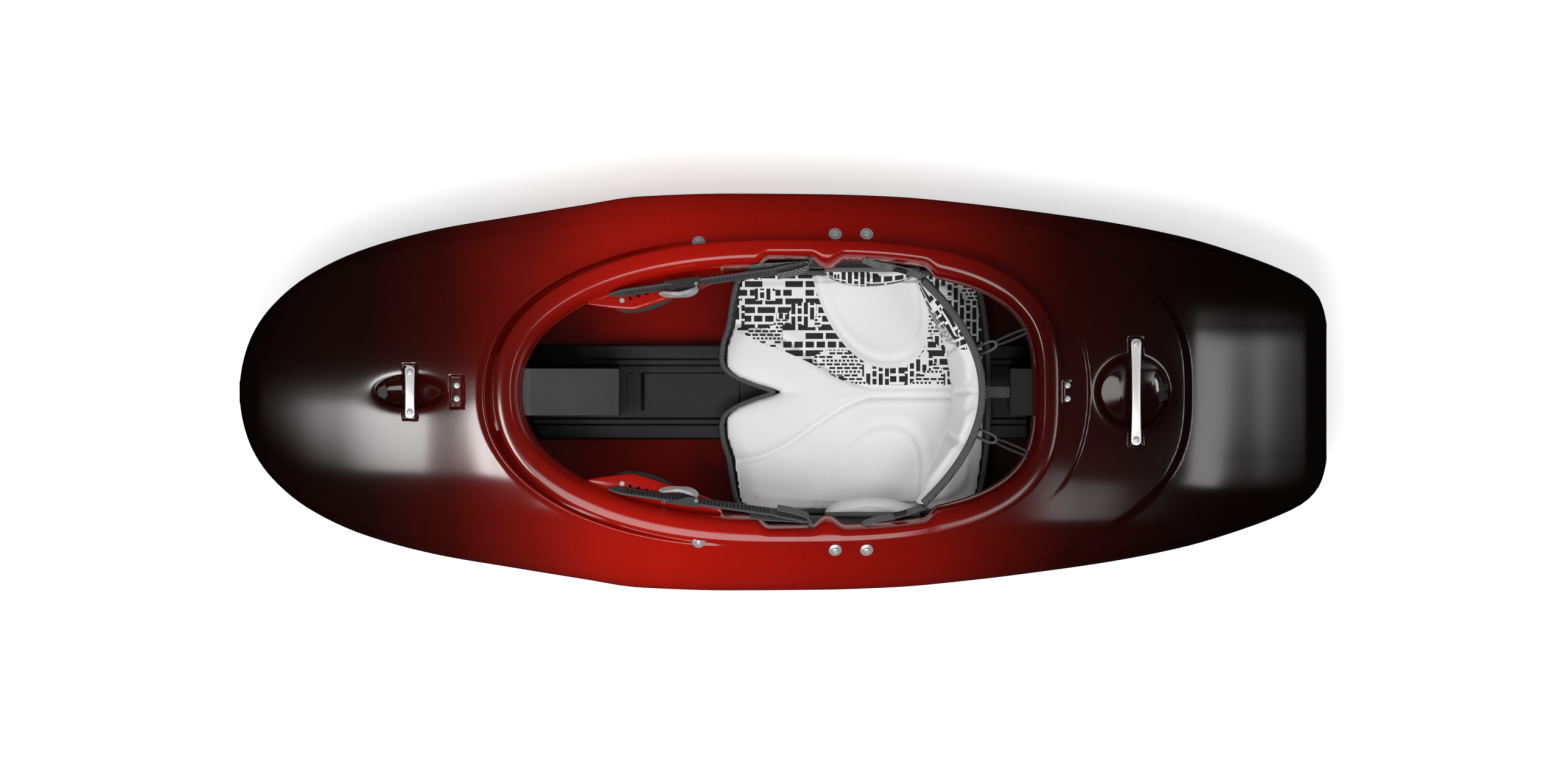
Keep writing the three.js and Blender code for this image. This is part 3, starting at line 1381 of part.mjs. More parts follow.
add('hull_shell', hullShell(), finishes.hullPlastic);
add('bow_handle', handleBar(bowHandle), finishes.polishedAluminium);
add('stern_handle', handleBar(sternHandle), finishes.polishedAluminium);
addPair('bow_handle_screw', handleScrew(bowHandle, 1), finishes.steel);
addPair('stern_handle_screw', handleScrew(sternHandle, 1), finishes.steel);

const pocketLevel = deckHeightAt(frontPocket.x, frontPocket.width / 2) - frontPocket.depth;
const frontScrew = pillarScrewAt(frontPocket.x, frontPocket.screwOffset, pocketLevel);
addPair('front_pillar_screw', frontScrew, finishes.steel);
const rearLevel = deckHeightAt(rearScrews.x - pillarScrew.headRadius, 0);
const rearScrew = pillarScrewAt(rearScrews.x, rearScrews.screwOffset, rearLevel);
addPair('rear_pillar_screw', rearScrew, finishes.steel);

for (const [place, x] of seatBoltSpots) {
  const spot = deckSpot(x, seatBolt.y);
  const grip = spot.point.z - earHeight(seatBolt.y) + seatEar.thickness + runningGap * 3;
  addPair(`seat_bolt_${place}`, deckBolt(spot, grip), finishes.steel);
}
addPair('brace_bolt', deckBolt(deckSpot(braceBolt.x, braceBolt.y), hull.wall + runningGap), finishes.steel);

add('centre_beam', beamForm(), finishes.blackPlastic);
add('front_pillar', frontPillar(), finishes.greyFoam);
add('rear_pillar', rearPillar(), finishes.greyFoam);
addPair('foot_block', footBlockForm(), finishes.blackFoam);

add('seat_pan', seatPan(), finishes.blackPlastic);
add('seat_pad', seatPad(), finishes.whiteFabric);
addPair('hip_pad', hipPadForm(), finishes.whiteFabric);
add('backband_shell', backbandShell(), finishes.blackPlastic);
add('backband_pad', backbandPad(), finishes.whiteFabric);

addPair('thigh_brace', braceForm(), finishes.blackPlastic);
addPair('thigh_pad', bracePad(), finishes.blackFoam);
addPair('brace_screw', braceScrew(), finishes.steel);

addPair('ladder_strap', ladderStrap(), finishes.greyPlastic);
addPair('ratchet_base', ratchetBase(), finishes.steel);
addPair('ratchet_anchor_bolt', anchorBoltForm(), finishes.steel);
addPair('ratchet_lever', leverForm(), finishes.clearPlastic);
addPair('lever_pin', leverPin(), finishes.steel);
addPair('front_webbing', frontWebbing(), finishes.webbingGrey);
addPair('rear_webbing', rearWebbing(), finishes.webbingGrey);
addPair('webbing_keeper', keeperForm(), finishes.blackWebbing);
addPair('backband_hook', hookForm(), finishes.greyPlastic);
addPair('elastic_loop', elasticLoop(), finishes.elastic);
add('rear_strap', rearStrapForm(), finishes.webbingGrey);

export default kayak;
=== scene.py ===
"""Looks of a short whitewater kayak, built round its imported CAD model.

The bow points along -X, the paddler's right side is +Y and up is +Z. Shapes are worked out in
millimetres and become metres where a mesh is made.
"""

import math

import bmesh
import bpy
import numpy as np
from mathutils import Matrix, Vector


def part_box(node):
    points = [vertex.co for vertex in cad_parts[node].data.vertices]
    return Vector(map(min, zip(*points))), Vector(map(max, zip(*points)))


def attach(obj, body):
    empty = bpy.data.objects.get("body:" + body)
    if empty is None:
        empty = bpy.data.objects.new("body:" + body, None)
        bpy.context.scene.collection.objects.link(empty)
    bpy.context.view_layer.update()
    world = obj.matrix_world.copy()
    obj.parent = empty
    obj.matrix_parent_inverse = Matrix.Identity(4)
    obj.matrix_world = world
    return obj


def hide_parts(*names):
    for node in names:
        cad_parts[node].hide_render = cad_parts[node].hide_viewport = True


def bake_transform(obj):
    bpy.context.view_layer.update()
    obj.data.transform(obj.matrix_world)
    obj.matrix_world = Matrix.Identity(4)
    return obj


MM = 0.001
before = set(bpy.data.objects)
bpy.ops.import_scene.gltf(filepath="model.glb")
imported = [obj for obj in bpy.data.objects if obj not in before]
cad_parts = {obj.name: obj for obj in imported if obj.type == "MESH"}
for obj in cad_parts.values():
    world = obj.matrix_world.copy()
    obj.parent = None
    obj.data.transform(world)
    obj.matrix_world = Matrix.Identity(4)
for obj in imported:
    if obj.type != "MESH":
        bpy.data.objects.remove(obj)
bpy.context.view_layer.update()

# Camera: the photograph looks straight down from far away, and is 2629 mm wide at the hull's sheer
PHOTO_WIDTH_MM = 2576 * 1.0207
CAMERA_HEIGHT_MM = 20000
SHEER_MM = 150
SENSOR_MM = 36


def make_camera():
    """A camera straight above the boat's middle, whose view is as wide as the photograph's at the sheer."""
    data = bpy.data.cameras.new("photo_camera")
    data.sensor_width = SENSOR_MM
    data.lens = SENSOR_MM * CAMERA_HEIGHT_MM / PHOTO_WIDTH_MM
    data.clip_end = 200
    camera = bpy.data.objects.new("photo_camera", data)
    bpy.context.scene.collection.objects.link(camera)
    camera.location = (0, 0, (CAMERA_HEIGHT_MM + SHEER_MM) * MM)
    bpy.context.scene.camera = camera


make_camera()

# Numbers of the hull, in millimetres
LENGTH, BEAM, WALL = 1820, 666, 6
HALF_LENGTH, HALF_BEAM = LENGTH / 2, BEAM / 2
DECK_HEIGHT, BOW_ROCKER, STERN_ROCKER, END_RADIUS = 318, 196, 128, 34
# Curves along the hull, each from -1 at the bow to 1 at the stern. The first three are shares of the half
# beam, of the rocker and of the deck's height; the sheer is a share of the section's height and the chine
# of its half width; the last is the power of the deck's arch.
PLAN = [(-1, 0), (-0.974, 0.303), (-0.941, 0.432), (-0.874, 0.586), (-0.773, 0.718), (-0.637, 0.82),
        (-0.503, 0.883), (-0.368, 0.943), (-0.267, 0.985), (-0.1, 1), (0.07, 0.997), (0.203, 0.985),
        (0.338, 0.952), (0.473, 0.907), (0.608, 0.853), (0.742, 0.778), (0.843, 0.694), (0.91, 0.625),
        (0.956, 0.562), (0.985, 0.48), (0.996, 0.4), (1, 0.34)]
KEEL = [(-1, 1), (-0.93, 0.83), (-0.82, 0.59), (-0.66, 0.31), (-0.49, 0.115), (-0.35, 0.02), (-0.28, 0),
        (0.28, 0), (0.38, 0.035), (0.55, 0.2), (0.71, 0.46), (0.88, 0.78), (1, 1)]
DECK = [(-1, 0.75), (-0.93, 0.785), (-0.82, 0.832), (-0.66, 0.9), (-0.53, 0.96), (-0.36, 1), (0, 0.945),
        (0.22, 0.885), (0.45, 0.802), (0.55, 0.775), (0.66, 0.748), (0.75, 0.72), (0.88, 0.64), (1, 0.56)]
SHEER = [(-1, 0.5), (-0.6, 0.47), (0, 0.44), (0.6, 0.42), (1, 0.46)]
CHINE = [(-1, 0.6), (-0.8, 0.7), (-0.5, 0.8), (-0.2, 0.845), (0.3, 0.85), (0.7, 0.82), (1, 0.76)]
POWER = [(-1, 2.2), (-0.6, 2.3), (-0.45, 2.5), (0, 2.7), (0.4, 2.7), (0.65, 3), (1, 3.2)]

# The cockpit's rim: its centre, its reach to front, rear and side, the powers of its two halves, how far it
# stands over the deck, how wide it is, how far its slope drops and how far it reaches out over its neck
RIM_X, RIM_FRONT, RIM_REAR, RIM_HALF = -10, 473, 472, 253
RIM_FRONT_POWER, RIM_REAR_POWER = 2.24, 3.0
RIM_RISE, RIM_WIDTH, RIM_DROP, RIM_FLANGE = 22, 46, 36, 15
# The station nearest to the bow's tip that still has a width
BOW_STATION = -0.9992


def curve_through(points):
    """A smooth curve through points: cubic pieces whose slopes never let it overshoot."""
    xs, ys = np.array(points, float).T
    secants = np.diff(ys) / np.diff(xs)
    slopes = np.concatenate([secants[:1], np.zeros(len(xs) - 2), secants[-1:]])
    product = secants[:-1] * secants[1:]
    same = product > 0
    total = np.where(same, secants[:-1] + secants[1:], 1)
    slopes[1:-1] = np.where(same, 2 * product / total, 0)

    def at(x):
        x = np.clip(x, xs[0], xs[-1])
        i = np.clip(np.searchsorted(xs, x, side="right") - 1, 0, len(xs) - 2)
        span = xs[i + 1] - xs[i]
        t = (x - xs[i]) / span
        rise = t * t * (3 - 2 * t)
        return (ys[i] * (1 - rise) + ys[i + 1] * rise + t * (1 - t) ** 2 * span * slopes[i]
                + t * t * (t - 1) * span * slopes[i + 1])
    return at


plan_square = curve_through([(s, w * w) for s, w in PLAN])
keel_curve, deck_curve = curve_through(KEEL), curve_through(DECK)
sheer_curve, chine_curve, power_curve = curve_through(SHEER), curve_through(CHINE), curve_through(POWER)


def smooth_step(t):
    """0 below 0 and 1 above 1; between them three times t squared less twice t cubed."""
    t = np.clip(t, 0, 1)
    return t * t * (3 - 2 * t)


def half_width_at(x):
    """Half the hull's width at x: half the beam times the root of the squared plan curve."""
    return HALF_BEAM * np.sqrt(np.clip(plan_square(np.clip(x / HALF_LENGTH, BOW_STATION, 1)), 0, None))


def section_at(x, inset=0.0):
    """Sizes of the hull's section at x: half width, keel, deck, sheer, chine and deck power.
    Over the last END_RADIUS the keel and the deck close on their middle along a circle's arc."""
    station = np.clip(x / HALF_LENGTH, BOW_STATION, 1)
    width = half_width_at(x)
    keel = np.where(station < 0, BOW_ROCKER, STERN_ROCKER) * keel_curve(station)
    deck = DECK_HEIGHT * deck_curve(station)
    from_end = np.clip(HALF_LENGTH - np.abs(x), END_RADIUS * 0.0005, None)
    turn = np.clip(1 - from_end / END_RADIUS, 0, None)
    half = (deck - keel) / 2 * np.sqrt(1 - turn ** 2)
    middle = (deck + keel) / 2
    thin = np.maximum(half - inset, half * 0.1)
    keel, deck = middle - thin, middle + thin
    half_width = np.maximum(width - inset, width * 0.1)
    sheer = keel + (deck - keel) * sheer_curve(station)
    return half_width, keel, deck, sheer, half_width * chine_curve(station), power_curve(station)


# Dents and steps of the deck. A bar has its place, half length and width, and the bowl under it; a bowl has
# its centre, its half sizes and its depth, and so have the pockets behind the bow's bar and the rim.
BOW_BAR = dict(x=-623.3, half=44, width=17, bowl=(-622, 58, 28, 24))
STERN_BAR = dict(x=588, half=89, width=18, bowl=(583, 61, 61, 26))
POCKET = (-545, 10.5, 27, 5)
REAR_POCKET = (473, 6.5, 19, 1.2)
POCKET_EDGE = 2.5
# The seat moulded for each bar's feet: its depth, its room round the bar and its soft edge
FOOT_DEPTH, FOOT_ROOM, FOOT_EDGE = 3, 2.5, 2
# The tail's step: where its edge is amidships, how far and how steeply it sweeps forward, its depth and slope
TAIL_X, TAIL_SWEEP, TAIL_REACH, TAIL_POWER, TAIL_DEPTH, TAIL_SLOPE = 669, 102, 209, 2.8, 8, 13
# The moat round the front of the rim: its depth amidships, what it gains at the sides, its width and slope,
# and the ridge beyond it: its height, its place outside the rim and its width
MOAT_DEPTH, MOAT_GAIN, MOAT_WIDTH, MOAT_SLOPE = 5, 4, 4, 12
RIDGE_HEIGHT, RIDGE_PLACE, RIDGE_WIDTH = 2.5, 19, 5
# The fine step behind the rim: its centre, radius, depth and slope
STEP_X, STEP_RADIUS, STEP_DEPTH, STEP_SLOPE = 380, 128, 1.6, 3


def rounded_box(x, y, half_x, half_y, blend):
    """1 inside a rounded box and 0 outside, with an edge of the given width."""
    dx, dy = np.abs(x) - half_x, np.abs(y) - half_y
    outside = np.hypot(np.clip(dx, 0, None), np.clip(dy, 0, None)) + np.minimum(np.maximum(dx, dy), 0)
    return 1 - smooth_step(outside / blend + 0.5)


def bowl_dent(x, y, bowl):
    """Depth of an ellipsoid dent; its mouth is softened over a few millimetres."""
    centre, half_x, half_y, depth = bowl
    share = 1 - ((x - centre) / half_x) ** 2 - (y / half_y) ** 2
    soft = 0.05
    return depth * np.sqrt(np.clip((share + np.sqrt(share ** 2 + soft ** 2)) / 2, 0, None))


def tail_drop(x, y):
    """How far the tail lies below the rear deck: a step whose edge sweeps forward by a power of y."""
    edge = TAIL_X - TAIL_SWEEP * (np.abs(y) / TAIL_REACH) ** TAIL_POWER
    return TAIL_DEPTH * smooth_step((x - edge) / TAIL_SLOPE)


def rim_share(x, y):
    """How far a plan point lies from the rim's centre: 1 on the rim's outer edge."""
    front = x < RIM_X
    reach = np.where(front, RIM_FRONT, RIM_REAR)
    power = np.where(front, RIM_FRONT_POWER, RIM_REAR_POWER)
    return ((np.abs(x - RIM_X) / reach) ** power + (np.abs(y) / RIM_HALF) ** power) ** (1 / power)


def bare_deck(x, y, inset=0.0):
    """Height of the plain deck: a flattened arch over the section's width."""
    half_width, keel, deck, sheer, chine, power = section_at(x, inset)
    across = np.clip(np.abs(y) / half_width, 0, 1)
    rise = (1 - across ** power) ** (1 / power)
    return sheer + (deck - sheer - tail_drop(x, y)) * rise


def deck_height(x, y):
    """The plain deck less its bowls, pockets and steps, with the moat and the ridge round the rim's front."""
    z = bare_deck(x, y)
    z = z - bowl_dent(x, y, BOW_BAR["bowl"]) - bowl_dent(x, y, STERN_BAR["bowl"])
    centre, half_x, half_y, depth = POCKET
    z = z - depth * rounded_box(x - centre, y, half_x, half_y, POCKET_EDGE)
    for bar in (BOW_BAR, STERN_BAR):
        half_x, half_y = bar["width"] / 2 + FOOT_ROOM, bar["half"] + FOOT_ROOM
        z = z - FOOT_DEPTH * rounded_box(x - bar["x"], y, half_x, half_y, FOOT_EDGE)
    centre, half_x, half_y, depth = REAR_POCKET
    z = z - depth * rounded_box(x - centre, y, half_x, half_y, POCKET_EDGE)
    out = (rim_share(x, y) - 1) * 470
    front = smooth_step((-x - 60) / 300)
    moat = MOAT_DEPTH + MOAT_GAIN * smooth_step((np.abs(y) - 45) / 35)
    ridge = RIDGE_HEIGHT * front * np.exp(-((out - RIDGE_PLACE) / RIDGE_WIDTH) ** 2)
    z = z - moat * front * (1 - smooth_step((out - MOAT_WIDTH) / MOAT_SLOPE)) + ridge
    far = np.hypot(x - STEP_X, y * 0.62)
    behind = smooth_step((x - STEP_X) / 60) * (1 - smooth_step((np.abs(y) - 110) / 70))
    return z - STEP_DEPTH * behind * smooth_step((far - STEP_RADIUS) / STEP_SLOPE)


def bottom_height(x, y, inset=0.0):
    """Flat to the chine, then straight out to the sheer, with the chine rounded off by a hyperbola."""
    half_width, keel, deck, sheer, chine, power = section_at(x, inset)
    beyond = np.abs(y) - chine
    soft = np.minimum(14, chine * 0.2)
    slant = (beyond + np.sqrt(beyond ** 2 + soft ** 2)) / 2
    full = (half_width - chine + np.sqrt((half_width - chine) ** 2 + soft ** 2)) / 2
    return keel + (sheer - keel) * slant / full


# Making meshes
def shown(name, body, mesh, material, replaced=()):
    """Adds a mesh as a visible piece, with the body it rides on and the frame's nodes that it replaces."""
    piece = bpy.data.objects.new(name, mesh)
    bpy.context.scene.collection.objects.link(piece)
    mesh.materials.append(material)
    if body:
        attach(piece, body)
    if replaced:
        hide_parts(*replaced)
    return piece


def grid_faces(rows, columns, close_rows, close_columns):
    """Four-sided faces between the points of a grid, wrapped round where it closes."""
    r = np.arange(rows if close_rows else rows - 1)
    c = np.arange(columns if close_columns else columns - 1)
    i, j = np.meshgrid(r, c, indexing="ij")
    i2, j2 = (i + 1) % rows, (j + 1) % columns
    corners = [i * columns + j, i * columns + j2, i2 * columns + j2, i2 * columns + j]
    return np.stack(corners, -1).reshape(-1, 4)


def surface(name, grid, close_rows=False, close_columns=False, weld=0.01, caps=False):
    """A mesh from a grid of points in millimetres; caps closes its first and last rows towards their
    middles, and points closer than weld become one."""
    rows, columns = grid.shape[:2]
    if caps:
        start = np.broadcast_to(grid[0].mean(0), (1, columns, 3))
        end = np.broadcast_to(grid[-1].mean(0), (1, columns, 3))
        grid = np.concatenate([start, grid, end])
        rows += 2
    faces = grid_faces(rows, columns, close_rows, close_columns)
    points = np.ascontiguousarray(grid.reshape(-1, 3), float) * MM
    mesh = bpy.data.meshes.new(name)
    mesh.vertices.add(len(points))
    mesh.vertices.foreach_set("co", points.ravel())
    mesh.loops.add(faces.size)
    mesh.loops.foreach_set("vertex_index", faces.ravel().astype(np.int32))
    mesh.polygons.add(len(faces))
    mesh.polygons.foreach_set("loop_start", np.arange(0, faces.size, faces.shape[1], dtype=np.int32))
    mesh.update(calc_edges=True)
    mesh.validate()
    work = bmesh.new()
    work.from_mesh(mesh)
    if weld:
        bmesh.ops.remove_doubles(work, verts=work.verts, dist=weld * MM)
        bmesh.ops.dissolve_degenerate(work, edges=work.edges, dist=weld * MM * 0.1)
    bmesh.ops.recalc_face_normals(work, faces=work.faces)
    for face in work.faces:
        face.smooth = True
    work.to_mesh(mesh)
    work.free()
    return mesh


def points_of(mesh):
    """A mesh's points in millimetres, one to a row."""
    flat = np.empty(len(mesh.vertices) * 3)
    mesh.vertices.foreach_get("co", flat)
    return flat.reshape(-1, 3) / MM


def normals_of(mesh):
    """A mesh's outward directions at its points, one to a row."""
    flat = np.empty(len(mesh.vertices) * 3)
    mesh.vertex_normals.foreach_get("vector", flat)
    return flat.reshape(-1, 3)


def mark(mesh, name, values):
    """Keeps one number for each point, for a material to read."""
    mesh.attributes.new(name, "FLOAT", "POINT").data.foreach_set("value", values.astype(np.float32))


def scaled_to_one(directions):
    """Directions divided by their lengths."""
    return directions / np.linalg.norm(directions, axis=1, keepdims=True)


def smooth_path(points, count):
    """Points along a smooth curve through a few given ones, by the running sum of their distances."""
    points = np.array(points, float)
    run = np.concatenate([[0], np.cumsum(np.linalg.norm(np.diff(points, axis=0), axis=1))])
    t = np.linspace(0, run[-1], count)
    return np.stack([curve_through(list(zip(run, axis)))(t) for axis in points.T], 1)


def carried(name, path, profile):
    """A closed profile of (side, up) pairs carried along an open path, upright all the way."""
    direction = scaled_to_one(np.gradient(path, axis=0))
    side = scaled_to_one(np.cross(np.broadcast_to((0.0, 0.0, 1.0), path.shape), direction))
    rise = np.cross(direction, side)
    grid = path[:, None] + side[:, None] * profile[None, :, :1] + rise[:, None] * profile[None, :, 1:]
    return surface(name, grid, close_columns=True, caps=True)


def ring_profile(radius_a, radius_b, count, power=2.0):
    """A closed oval of (side, up) pairs: cosine and sine to the power of 2 over power, times the radii."""
    t = np.linspace(0, 2 * np.pi, count, endpoint=False)
    c, s = np.cos(t), np.sin(t)
    return np.stack([radius_a * np.sign(c) * np.abs(c) ** (2 / power),
                     radius_b * np.sign(s) * np.abs(s) ** (2 / power)], 1)


def lathe(name, profile, point, direction):
    """Pairs of radius and height turned about a direction through a point."""
    profile = np.array(profile, float)
    n = np.array(direction, float)
    n /= np.linalg.norm(n)
    a = np.cross(n, (0, 1, 0.3))
    a /= np.linalg.norm(a)
    b = np.cross(n, a)
    t = np.linspace(0, 2 * np.pi, 32, endpoint=False)
    ring = np.cos(t)[None, :, None] * a + np.sin(t)[None, :, None] * b
    grid = np.array(point) + profile[:, :1, None] * ring + profile[:, 1:, None] * n
    return surface(name, grid, close_columns=True)


def joined_mesh(name, meshes):
    """One mesh that holds the points and faces of several."""
    work = bmesh.new()
    for mesh in meshes:
        work.from_mesh(mesh)
    made = bpy.data.meshes.new(name)
    work.to_mesh(made)
    work.free()
    return made


# Materials
def linear(code):
    """A hex colour as it is seen, turned to the linear values that a shader takes."""
    parts = [int(code[i:i + 2], 16) / 255 for i in (0, 2, 4)]
    return tuple(p / 12.92 if p <= 0.04045 else ((p + 0.055) / 1.055) ** 2.4 for p in parts) + (1.0,)


def node(tree, kind, settings=None, **links):
    """Adds a node, sets its properties and inputs, and links what is given as a socket."""
    made = tree.nodes.new(kind)
    for key, value in (settings or {}).items():
        setattr(made, key, value)
    for key, value in links.items():
        name = key.replace("_", " ") if key.replace("_", " ") in made.inputs else key
        socket = made.inputs[int(key[1:])] if key[0] == "i" and key[1:].isdigit() else made.inputs[name]
        if isinstance(value, bpy.types.NodeSocket):
            tree.links.new(value, socket)
        else:
            socket.default_value = value
    return made


def new_material(name):
    """An empty material, its tree of nodes and the coordinates of the object that wears it."""
    material = bpy.data.materials.new(name)
    material.use_nodes = True
    tree = material.node_tree
    tree.nodes.clear()
    return material, tree, node(tree, "ShaderNodeTexCoord").outputs["Object"]


def finished(material, relief=None, **inputs):
    """The material with its surface, whose inputs are values or sockets. A relief has the socket that gives
    its height, its strength and its depth in millimetres."""
    tree = material.node_tree
    if relief:
        height, strength, depth = relief
        raised = node(tree, "ShaderNodeBump", Height=height, Strength=strength, Distance=depth * MM)
        inputs["Normal"] = raised.outputs[0]
    shader = node(tree, "ShaderNodeBsdfPrincipled", **inputs)
    node(tree, "ShaderNodeOutputMaterial", Surface=shader.outputs[0])
    return material


def lighter(code, times):
    """A colour's linear values times a number, none of them over 1."""
    return tuple(min(1.0, c * times) for c in linear(code)[:3]) + (1.0,)


# The moulded polyethylene takes two colours in the mould: red in the middle that fades to black.
HULL_FADE = [(-910, "040000"), (-700, "160403"), (-560, "340603"), (-420, "6a0d07"), (-300, "971208"),
             (-192, "a01106"), (114, "820a03"), (230, "720903"), (380, "430502"), (470, "240302"),
             (620, "110101"), (760, "060000"), (910, "030000")]


def hull_polyethylene():
    """Rotomoulded polyethylene: a soft gloss, a faint orange peel, a hint of mottling and painted shade on
    the floor inside the hull.
    """
    material, tree, point = new_material("rotomoulded_polyethylene")
    split = node(tree, "ShaderNodeSeparateXYZ", Vector=point)
    cloud = node(tree, "ShaderNodeTexNoise", Vector=point, Scale=5.0, Detail=3.0, Roughness=0.55)
    drift = node(tree, "ShaderNodeMath", {"operation": "MULTIPLY_ADD"}, i0=cloud.outputs[0], i1=0.07,
                 i2=-0.035)
    along = node(tree, "ShaderNodeMath", {"operation": "ADD"}, i0=split.outputs[0], i1=drift.outputs[0])
    share = node(tree, "ShaderNodeMapRange", i0=along.outputs[0], i1=-HALF_LENGTH * MM, i2=HALF_LENGTH * MM)
    fade = node(tree, "ShaderNodeValToRGB", Fac=share.outputs[0])
    stops = fade.color_ramp.elements
    stops.remove(stops[-1])
    stops[0].position, stops[0].color = 0, linear(HULL_FADE[0][1])
    for x, code in HULL_FADE[1:]:
        stop = stops.new((x + HALF_LENGTH) / LENGTH)
        stop.color = linear(code)
    speck = node(tree, "ShaderNodeTexNoise", Vector=point, Scale=260.0, Detail=2.0, Roughness=0.6)
    tone = node(tree, "ShaderNodeMapRange", i0=speck.outputs[0], i1=0.3, i2=0.7, i3=0.93, i4=1.07)
    # painted shade: where the hull marks its inner floor, the colour is darkened down to 0.55, as the shade
    # that falls in the cockpit
    inner = node(tree, "ShaderNodeAttribute", {"attribute_name": "inside"})
    painted_floor_shade = node(tree, "ShaderNodeMapRange", i0=inner.outputs["Fac"], i3=1.0, i4=0.55)
    shade = node(tree, "ShaderNodeMath", {"operation": "MULTIPLY"}, i0=tone.outputs[0], i1=painted_floor_shade.outputs[0])
    colour = node(tree, "ShaderNodeVectorMath", {"operation": "SCALE"}, i0=fade.outputs[0],
                  Scale=shade.outputs[0])
    peel = node(tree, "ShaderNodeTexNoise", Vector=point, Scale=420.0, Detail=2.0)
    return finished(material, (peel.outputs[0], 0.12, 0.05), Base_Color=colour.outputs[0], Roughness=0.13,
                    IOR=1.5)


def moulded_plastic(name, code, roughness):
    """Injection moulded plastic: one colour with the fine spark grain of its mould."""
    material, tree, point = new_material(name)
    grain = node(tree, "ShaderNodeTexNoise", Vector=point, Scale=900.0, Detail=2.0)
    tone = node(tree, "ShaderNodeMixRGB", Fac=grain.outputs[0], Color1=linear(code),
                Color2=lighter(code, 1.25))
    return finished(material, (grain.outputs[0], 0.4, 0.05), Base_Color=tone.outputs[0], Roughness=roughness)


def foam(name, code):
    """Closed cell foam: matte, with fine cells cut open at its skin."""
    material, tree, point = new_material(name)
    cells = node(tree, "ShaderNodeTexVoronoi", Vector=point, Scale=500.0)
    cloud = node(tree, "ShaderNodeTexNoise", Vector=point, Scale=30.0, Detail=3.0)
    tone = node(tree, "ShaderNodeMixRGB", Fac=cloud.outputs[0], Color1=linear(code),
                Color2=lighter(code, 1.35))
    return finished(material, (cells.outputs["Distance"], 0.35, 0.3), Base_Color=tone.outputs[0],
                    Roughness=0.85)


def bare_metal(name, code, roughness, brush=(1.0, 1.0, 1.0), satin=0.35):
    """Bare metal: fine scratches run along its brushing."""
    material, tree, point = new_material(name)
    stretched = node(tree, "ShaderNodeMapping", Vector=point, Scale=brush)
    lines = node(tree, "ShaderNodeTexNoise", Vector=stretched.outputs[0], Scale=2500.0, Detail=2.0)
    return finished(material, (lines.outputs[0], 0.15, 0.03), Base_Color=linear(code), Metallic=1 - satin,
                    Roughness=roughness)


def woven(name, code, light, thread_mm=1.6):
    """Webbing: threads over and under each other, light at their crowns."""
    material, tree, point = new_material(name)
    turned = node(tree, "ShaderNodeMapping", Vector=point, Rotation=(0.6, 0.4, math.radians(45)))
    over, under = [node(tree, "ShaderNodeTexWave", {"bands_direction": way}, Vector=turned.outputs[0],
                        Scale=1000 / thread_mm / 6.28, Distortion=0.6) for way in ("X", "Y")]
    weave = node(tree, "ShaderNodeMath", {"operation": "MULTIPLY"}, i0=over.outputs[1], i1=under.outputs[1])
    tone = node(tree, "ShaderNodeMixRGB", Fac=weave.outputs[0], Color1=linear(code), Color2=linear(light))
    return finished(material, (weave.outputs[0], 0.6, 0.25), Base_Color=tone.outputs[0], Roughness=0.85)


# Metres: where the backband's curve is centred, and its radius; then its lean, out for each step up
PRINT_CENTRE, PRINT_RADIUS, PRINT_LEAN = 0.09, 0.18, 0.6
# The print's blocks in metres: their length, their row, and the white between them
PRINT_BLOCKS = {"bold": (0.034, 0.0145, 0.0022), "upright": (0.024, 0.0105, 0.0018),
                "fine": (0.0125, 0.0062, 0.0013)}


def round_band(tree, point):
    """Lays the print on the curved backband: x runs round the cockpit and y up the band's slope."""
    moved = node(tree, "ShaderNodeMapping", Vector=point, Location=(-PRINT_CENTRE, 0, 0))
    split = node(tree, "ShaderNodeSeparateXYZ", Vector=moved.outputs[0])
    angle = node(tree, "ShaderNodeMath", {"operation": "ARCTAN2"}, i0=split.outputs[1], i1=split.outputs[0])
    along = node(tree, "ShaderNodeMath", {"operation": "MULTIPLY"}, i0=angle.outputs[0], i1=PRINT_RADIUS)
    flat = node(tree, "ShaderNodeVectorMath", {"operation": "MULTIPLY"}, i0=moved.outputs[0], i1=(1, 1, 0))
    reach = node(tree, "ShaderNodeVectorMath", {"operation": "LENGTH"}, i0=flat.outputs[0])
    out = node(tree, "ShaderNodeMath", {"operation": "MULTIPLY"}, i0=reach.outputs["Value"], i1=PRINT_LEAN)
    up = node(tree, "ShaderNodeMath", {"operation": "ADD"}, i0=split.outputs[2], i1=out.outputs[0])
    return node(tree, "ShaderNodeCombineXYZ", i0=along.outputs[0], i1=up.outputs[0]).outputs[0]


